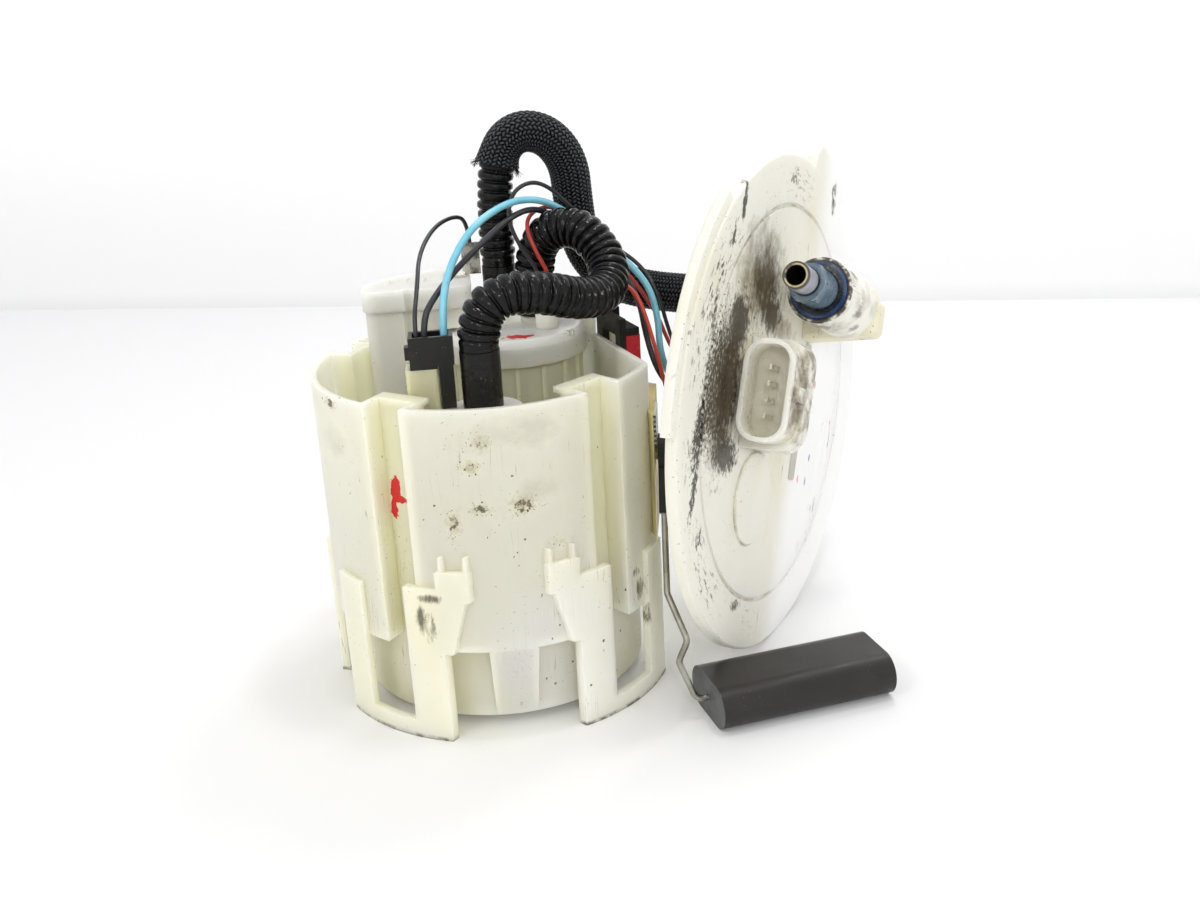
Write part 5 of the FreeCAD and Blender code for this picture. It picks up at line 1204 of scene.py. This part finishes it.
red_route = [
    (0.024, 0.0124, 0.011), (0.0242, 0.0124, 0.017), (0.0242, 0.0126, 0.023), (0.0203, 0.012, 0.031),
    (0.0174, 0.015, 0.0393), (0.02, 0.022, 0.0428), (0.027, 0.0283, 0.0436), (0.0346, 0.0271, 0.0376),
    (0.0434, 0.027, 0.028), (0.0535, 0.0226, 0.017), (0.0604, 0.0196, 0.006), (0.0634, 0.015, -0.003),
    (0.0673, 0.0154, -0.0115),
]
orange_route = [
    (0.04235, 0.0146, 0.0092), (0.0425, 0.0145, 0.0136), (0.0446, 0.0131, 0.018), (0.049, 0.0102, 0.019),
    (0.053, 0.007, 0.0148), (0.0554, 0.0046, 0.007), (0.0574, 0.0026, -0.0015), (0.0594, 0.0014, -0.011),
    (0.0616, 0.003, -0.0205), (0.0652, 0.0084, -0.0275),
]
ground_route = [
    (-0.0196, -0.03, 0.0125), (-0.0198, -0.03, 0.021), (-0.0182, -0.02, 0.0295), (-0.0174, -0.006, 0.0368),
    (-0.0124, 0.008, 0.0426), (-0.0056, 0.02, 0.0436), (-0.0018, 0.028, 0.0402), (-0.0014, 0.0324, 0.0321),
]


def on_cover(across, up, out):
    """Point given in the cover's frame."""
    return cover_centre + cover_across * across + cover_up * up + cover_out * out


def full_route(points, ends=()):
    """Route in the module's frame, with the straight lead under the cover."""
    return [Vector((x, y, rim + z)) for x, y, z in points] + list(ends)


def wire_lead(across, up):
    """Last straight run of a wire into its plug under the cover."""
    return [on_cover(across, up, -0.028), on_cover(across, up, -0.016)]


print("routes: 8")

# %% [markdown]
# Two helpers serve all cords. One lays the spline as a curve object; the other reads the smooth points
# back from such a curve, so that folds and strands can be set along exactly the same line.

# %% Spline and its points
def lay_curve(name, points, radius=0.0):
    """Open NURBS curve past the points, round if it has a radius."""
    data = bpy.data.curves.new(name, "CURVE")
    data.dimensions = "3D"
    data.resolution_u = 16
    data.bevel_depth = radius
    data.bevel_resolution = 6
    spline = data.splines.new("NURBS")
    spline.points.add(len(points) - 1)
    for knot, point in zip(spline.points, points):
        knot.co = (*point, 1.0)
    spline.order_u = 3
    spline.use_endpoint_u = True
    curve = bpy.data.objects.new(name, data)
    bpy.context.collection.objects.link(curve)
    return curve


def follow(points):
    """Smooth points of the route's spline."""
    curve = lay_curve("guide", points)
    mesh = bpy.data.meshes.new_from_object(curve.evaluated_get(bpy.context.evaluated_depsgraph_get()))
    line = [v.co.copy() for v in mesh.vertices]
    bpy.data.objects.remove(curve)
    bpy.data.meshes.remove(mesh)
    return line


def measure(line):
    """Length of a line of points."""
    return sum((b - a).length for a, b in zip(line, line[1:]))


def space_out(line, step):
    """Points at even steps along a line, with the length so far."""
    total = measure(line)
    count = max(2, round(total / step))
    targets = [total * i / count for i in range(count + 1)]
    result = []
    index = 0
    passed = 0.0
    for target in targets:
        while index < len(line) - 2 and passed + (line[index + 1] - line[index]).length < target:
            passed += (line[index + 1] - line[index]).length
            index += 1
        piece = line[index + 1] - line[index]
        share = min(1.0, (target - passed) / max(piece.length, 1e-9))
        result.append((line[index] + piece * share, target))
    return result


for name, route in (("transfer", transfer_route), ("ground", ground_route)):
    print(name, round(measure(follow(full_route(route))), 4), "m")

# %% [markdown]
# A tube is a ring of points carried along the line. The ring's frame is turned only as much as the line
# turns, so the mesh never twists. What makes a hose or a braid is the radius, which a function gives for
# each place round and along the tube. The mesh keeps those two places, so a finish can follow them.

# %% Tube with its own relief
def make_tube(name, spots, around, radius_at):
    """Mesh tube along spaced points, whose radius and shade depend on angle and distance."""
    mesh = bpy.data.meshes.new(name)
    points = [p for p, _ in spots]
    tangent = (points[1] - points[0]).normalized()
    side = tangent.orthogonal().normalized()
    rows = []
    shades = []
    for index, (point, run) in enumerate(spots):
        before = points[max(index - 1, 0)]
        after = points[min(index + 1, len(points) - 1)]
        heading = (after - before).normalized()
        side = (side - heading * side.dot(heading)).normalized()
        other = heading.cross(side)
        for step in range(around):
            turn = 2 * math.pi * step / around
            radius, shade = radius_at(turn, run)
            rows.append(point + (side * math.cos(turn) + other * math.sin(turn)) * radius)
            shades.append(shade)
    faces = []
    for row in range(len(spots) - 1):
        for step in range(around):
            a = row * around + step
            b = row * around + (step + 1) % around
            faces.append((a, b, b + around, a + around))
    faces.append(tuple(reversed(range(around))))
    faces.append(tuple(range((len(spots) - 1) * around, len(spots) * around)))
    mesh.from_pydata(rows, [], faces)
    layer = mesh.attributes.new("relief", "FLOAT", "POINT")
    layer.data.foreach_set("value", shades)
    places = []
    for row in range(len(spots) - 1):
        near, far = spots[row][1], spots[row + 1][1]
        for step in range(around):
            start, end = step / around, (step + 1) / around
            places += [start, near, end, near, end, far, start, far]
    places += [0.0] * (4 * around)
    mesh.uv_layers.new(name="round_and_along").data.foreach_set("uv", places)
    mesh.polygons.foreach_set("use_smooth", [True] * (len(faces) - 2) + [False, False])
    tube = bpy.data.objects.new(name, mesh)
    bpy.context.collection.objects.link(tube)
    return tube


def relief_mask(finish, low, high):
    """Mask of the relief that a tube's mesh carries."""
    node = add_node(finish.tree, "ShaderNodeAttribute", attribute_name="relief")
    return finish.ramp(node.outputs["Fac"], low, high)


print("tube maker ready")

# %% [markdown]
# The transfer hose is a corrugated tube of glossy black plastic. Its folds are broad on the crest and
# narrow in the groove, a little over three millimetres apart, and no two are quite alike. Near the cuff
# they fade out, because the hose's end is smooth there to grip the nipple.

# %% Folds of a hose
def make_folds(mean, depth, pitch, seed, plain_start, plain_end, total):
    """Radius of a corrugated hose at a place."""
    chance = random.Random(seed)
    count = int(total / pitch) + 3
    uneven = [1 + chance.uniform(-0.2, 0.2) for _ in range(count)]
    lean = [chance.uniform(-0.35, 0.35) for _ in range(count)]
    side = [chance.uniform(0, 2 * math.pi) for _ in range(count)]

    def radius_at(turn, run):
        fold = min(int(run / pitch), count - 1)
        place = run / pitch + lean[fold] * 0.22 * math.cos(turn - side[fold])
        crest = 1 - (1 - abs(math.sin(math.pi * place))) ** 2.1
        fade = min(1.0, max(0.0, run - plain_start) / 0.004, max(0.0, total - plain_end - run) / 0.004)
        swell = depth * uneven[fold] * fade
        return mean + (crest - 0.62) * swell, crest * fade
    return radius_at


print("folds ready")

# %% [markdown]
# New hose plastic is nearly black and glossy. What the eye reads as folds is the sparkle on the crests
# and the dark grooves, so the finish paints the grooves darker as painted shade, after the relief that
# the mesh carries.

# %% Finish: hoses
def make_hose_finish():
    """Glossy corrugated plastic with painted shade in its grooves and patches of dust."""
    finish = Finish("hose_plastic_gloss", linear(14, 14, 16), specular=0.24)
    crest = relief_mask(finish, 0.1, 0.9)
    # Painted shade: the grooves are painted darker than the crests.
    finish.layer(finish.minus(1.0, crest), linear(10, 10, 10), 0.8)
    finish.stain(90, 0.55, 0.8, linear(30, 29, 29), 0.5)
    finish.layer(finish.specks(1700, 0.3, 120), linear(120, 116, 106), 0.3)
    finish.sheen(160, 0.08, 0.22, 0.75)
    finish.skin(1600, 0.35, 260, 0.0005, 0.45)
    return finish.done()


hose_finish = make_hose_finish()
print("finish", hose_finish.name)

# The transfer hose is the first to be made with all of these helpers.

# %% Transfer hose
def finish_cord(piece, node, material):
    """Material and body of one piece, with its solid node hidden."""
    piece.data.materials.append(material)
    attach(piece, "module")
    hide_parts(node)


ring_gap = 0.00032
fold_pitch = 0.0032
transfer_points = full_route(transfer_route)
transfer_line = follow(transfer_points)
transfer_length = measure(transfer_line)
transfer_spots = space_out(transfer_line, ring_gap)
transfer_hose = make_tube("corrugated_transfer_hose", transfer_spots, 48,
                          make_folds(0.0060, 0.0017, fold_pitch, 3, 0.001, 0.003, transfer_length))
finish_cord(transfer_hose, "transfer_hose", hose_finish)
print("transfer hose", round(transfer_length, 4), "m,", len(transfer_hose.data.vertices), "points")

# %% [markdown]
# Over the feed hose runs a woven sleeve that keeps it from chafing. Its strands cross in two families,
# each going over and under the other. On the tube, one family is a left-hand screw and the other a
# right-hand one; which lies on top changes from crossing to crossing, and the radius follows that.

# %% Feed hose and its woven sleeve
feed_points = full_route(feed_route, [on_cover(-0.012, 0.034, -0.034), on_cover(-0.012, 0.034, -0.024)])
feed_line = follow(feed_points)
feed_length = measure(feed_line)
feed_spots = space_out(feed_line, ring_gap)
feed_hose = make_tube("corrugated_feed_hose", feed_spots, 40,
                      make_folds(0.0055, 0.0014, fold_pitch, 8, 0.001, 0.003, feed_length))
sleeve_from = 0.058 + rim
sleeve_spots = []
for point, run in space_out(feed_line, 0.00027):
    if (point.z > sleeve_from or point.x > 0.0120 or sleeve_spots) and run < feed_length - 0.0016:
        sleeve_spots.append((point, run))
strands = 28
strand_pitch = 0.00132
sleeve_radius = 0.00635
strand_height = 0.00055
sleeve_start = sleeve_spots[0][1]
print("feed hose", round(feed_length, 4), "m, sleeve from", round(sleeve_start, 4), "m")


def braid_radius(turn, run):
    """Radius of the sleeve where strands float over two others."""
    number, row = strands * turn / (2 * math.pi), run / strand_pitch
    first, second = number - row, number + row
    if (math.floor(first) + math.floor(second)) % 4 < 2:
        across, along = first - math.floor(first), (math.floor(first) + second) % 4
    else:
        across, along = second - math.floor(second), (math.floor(second) + first) % 4 - 2
    lift = math.sqrt(4 * across * (1 - across)) * (0.4 + 0.6 * math.sin(math.pi / 2 * along))
    flare = 0.0008 * max(0.0, 1 - (run - sleeve_start) / 0.005) ** 2
    return sleeve_radius + strand_height * lift + flare, lift


woven_sleeve = make_tube("woven_sleeve", sleeve_spots, strands * 8, braid_radius)

# %% [markdown]
# The sleeve was cut with scissors, so its end has come undone. The loose ends are thin hairs that stand
# out from the cut edge; each is a short bent curve, and all of them are joined into one mesh.

# %% Loose ends of the braid
def make_loose_ends(name, centre, heading, radius, count, seed):
    """Hairs that stand out from a cut edge."""
    chance = random.Random(seed)
    side = heading.orthogonal().normalized()
    other = heading.cross(side)
    rows = []
    faces = []
    for _ in range(count):
        turn = chance.uniform(0, 2 * math.pi)
        out = side * math.cos(turn) + other * math.sin(turn)
        point = centre + out * radius * chance.uniform(0.92, 1.02)
        step = (-heading * chance.uniform(0.3, 1.0) + out * chance.uniform(0.1, 0.9)).normalized() * 0.0006
        thick = chance.uniform(0.00007, 0.00014)
        for index in range(5):
            base = len(rows)
            spread = step.orthogonal().normalized()
            third = step.normalized().cross(spread)
            size = thick * (1 - 0.15 * index)
            for corner in range(3):
                angle = 2 * math.pi * corner / 3
                rows.append(point + (spread * math.cos(angle) + third * math.sin(angle)) * size)
            if index:
                for corner in range(3):
                    after = (corner + 1) % 3
                    faces.append((base - 3 + corner, base - 3 + after, base + after, base + corner))
            point = point + step
            step = step + Vector([chance.uniform(-0.00022, 0.00022) for _ in range(3)])
    mesh = bpy.data.meshes.new(name)
    mesh.from_pydata(rows, [], faces)
    ends = bpy.data.objects.new(name, mesh)
    bpy.context.collection.objects.link(ends)
    return ends


print("loose ends ready")

# %% [markdown]
# The yarn is black too, and only its crests catch light. The weave's height paints the crests lighter, a
# painted highlight, and leaves painted shade between them; it goes on into the relief as well, so each
# strand is seen even where the mesh is coarser than the yarn.

# %% Finish: braid
def make_braid_finish():
    """Dull black yarn with a painted highlight on its crests and painted shade between them."""
    finish = Finish("braid_yarn", linear(6, 6, 7), specular=0.3)
    tree = finish.tree
    places = split_node(tree, add_node(tree, "ShaderNodeUVMap", uv_map="round_and_along").outputs["UV"])
    weave = add_node(tree, "ShaderNodeGroup", node_tree=woven_strands)
    fill(tree, (weave.inputs["Turn"], weave.inputs["Run"]),
         (finish.times(places["X"], strands), math_node(tree, "DIVIDE", places["Y"], strand_pitch)))
    height = weave.outputs["Height"]
    # Painted highlight: the weave's crests are painted light grey, and the low parts stay near black as painted
    # shade.
    finish.layer(finish.ramp(height, 0.4, 0.95), linear(74, 75, 79), 0.95)
    finish.stain(50, 0.55, 0.8, linear(44, 43, 41), 0.25)
    finish.layer(finish.specks(1700, 0.3, 80), linear(110, 104, 94), 0.25)
    finish.sheen(300, 0.18, 0.34)
    finish.bump(height, 0.0009, 1.0)
    return finish.done()


braid_finish = make_braid_finish()
print("finish", braid_finish.name)

# %% [markdown]
# The braid, its loose ends and the hose inside are one cord: all three go onto the module's body, and the
# imported sleeve is hidden.

# %% Dress the feed hose
cut_heading = (sleeve_spots[3][0] - sleeve_spots[0][0]).normalized()
loose_ends = make_loose_ends("braid_loose_ends", sleeve_spots[0][0], cut_heading, 0.0071, 130, 5)
for piece in (woven_sleeve, loose_ends):
    piece.data.materials.append(braid_finish)
    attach(piece, "module")
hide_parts("braided_sleeve")
finish_cord(feed_hose, "feed_hose", hose_finish)
print("braid has", len(woven_sleeve.data.vertices), "points")

# %% [markdown]
# The wires are plain round cords, so a curve with a round bevel is all they need. Their insulation is
# smooth and slightly waxy; the finish varies a little along the wire where fuel has bleached it.

# %% Wires
def make_insulation(name, colour, second):
    """Smooth wire insulation, bleached in places."""
    finish = Finish(name, colour)
    finish.stain(70, 0.42, 0.7, second, 0.7)
    finish.layer(finish.specks(1800, 0.25, 160), linear(60, 54, 44), 0.4)
    finish.sheen(150, 0.28, 0.42)
    finish.skin(2400, 0.3, 400, 0.0002, 0.3)
    return finish.done()


blue_finish = make_insulation("blue_insulation", linear(134, 204, 224), linear(100, 182, 206))
dark_finish = make_insulation("black_insulation", linear(44, 44, 48), linear(26, 26, 28))
red_wire_finish = make_insulation("red_insulation", linear(186, 56, 46), linear(158, 38, 36))
orange_finish = make_insulation("orange_insulation", linear(212, 70, 52), linear(184, 48, 38))
wires = [
    ("blue_wire", "blue_insulation", blue_finish, blue_route, wire_lead(0.004, 0.0), 0.00115),
    ("black_wire", "black_insulation", dark_finish, black_route, wire_lead(-0.004, 0.0), 0.0010),
    ("signal_wire", "black_insulation", dark_finish, signal_route, wire_lead(0.004, 0.007), 0.0007),
    ("red_wire", "red_insulation", red_wire_finish, red_route, wire_lead(-0.004, 0.007), 0.0007),
    ("orange_wire", "orange_insulation", orange_finish, orange_route, wire_lead(-0.004, -0.007), 0.0007),
    ("ground_wire", "black_insulation", dark_finish, ground_route, (), 0.0007),
]
for node, slot, material, points, lead, radius in wires:
    route = full_route(points, lead)
    wire = lay_curve("soft_" + node, route, radius)
    wire_length = measure(follow(route))
    finish_cord(wire, node, material)
    print(node, round(wire_length, 4), "m")
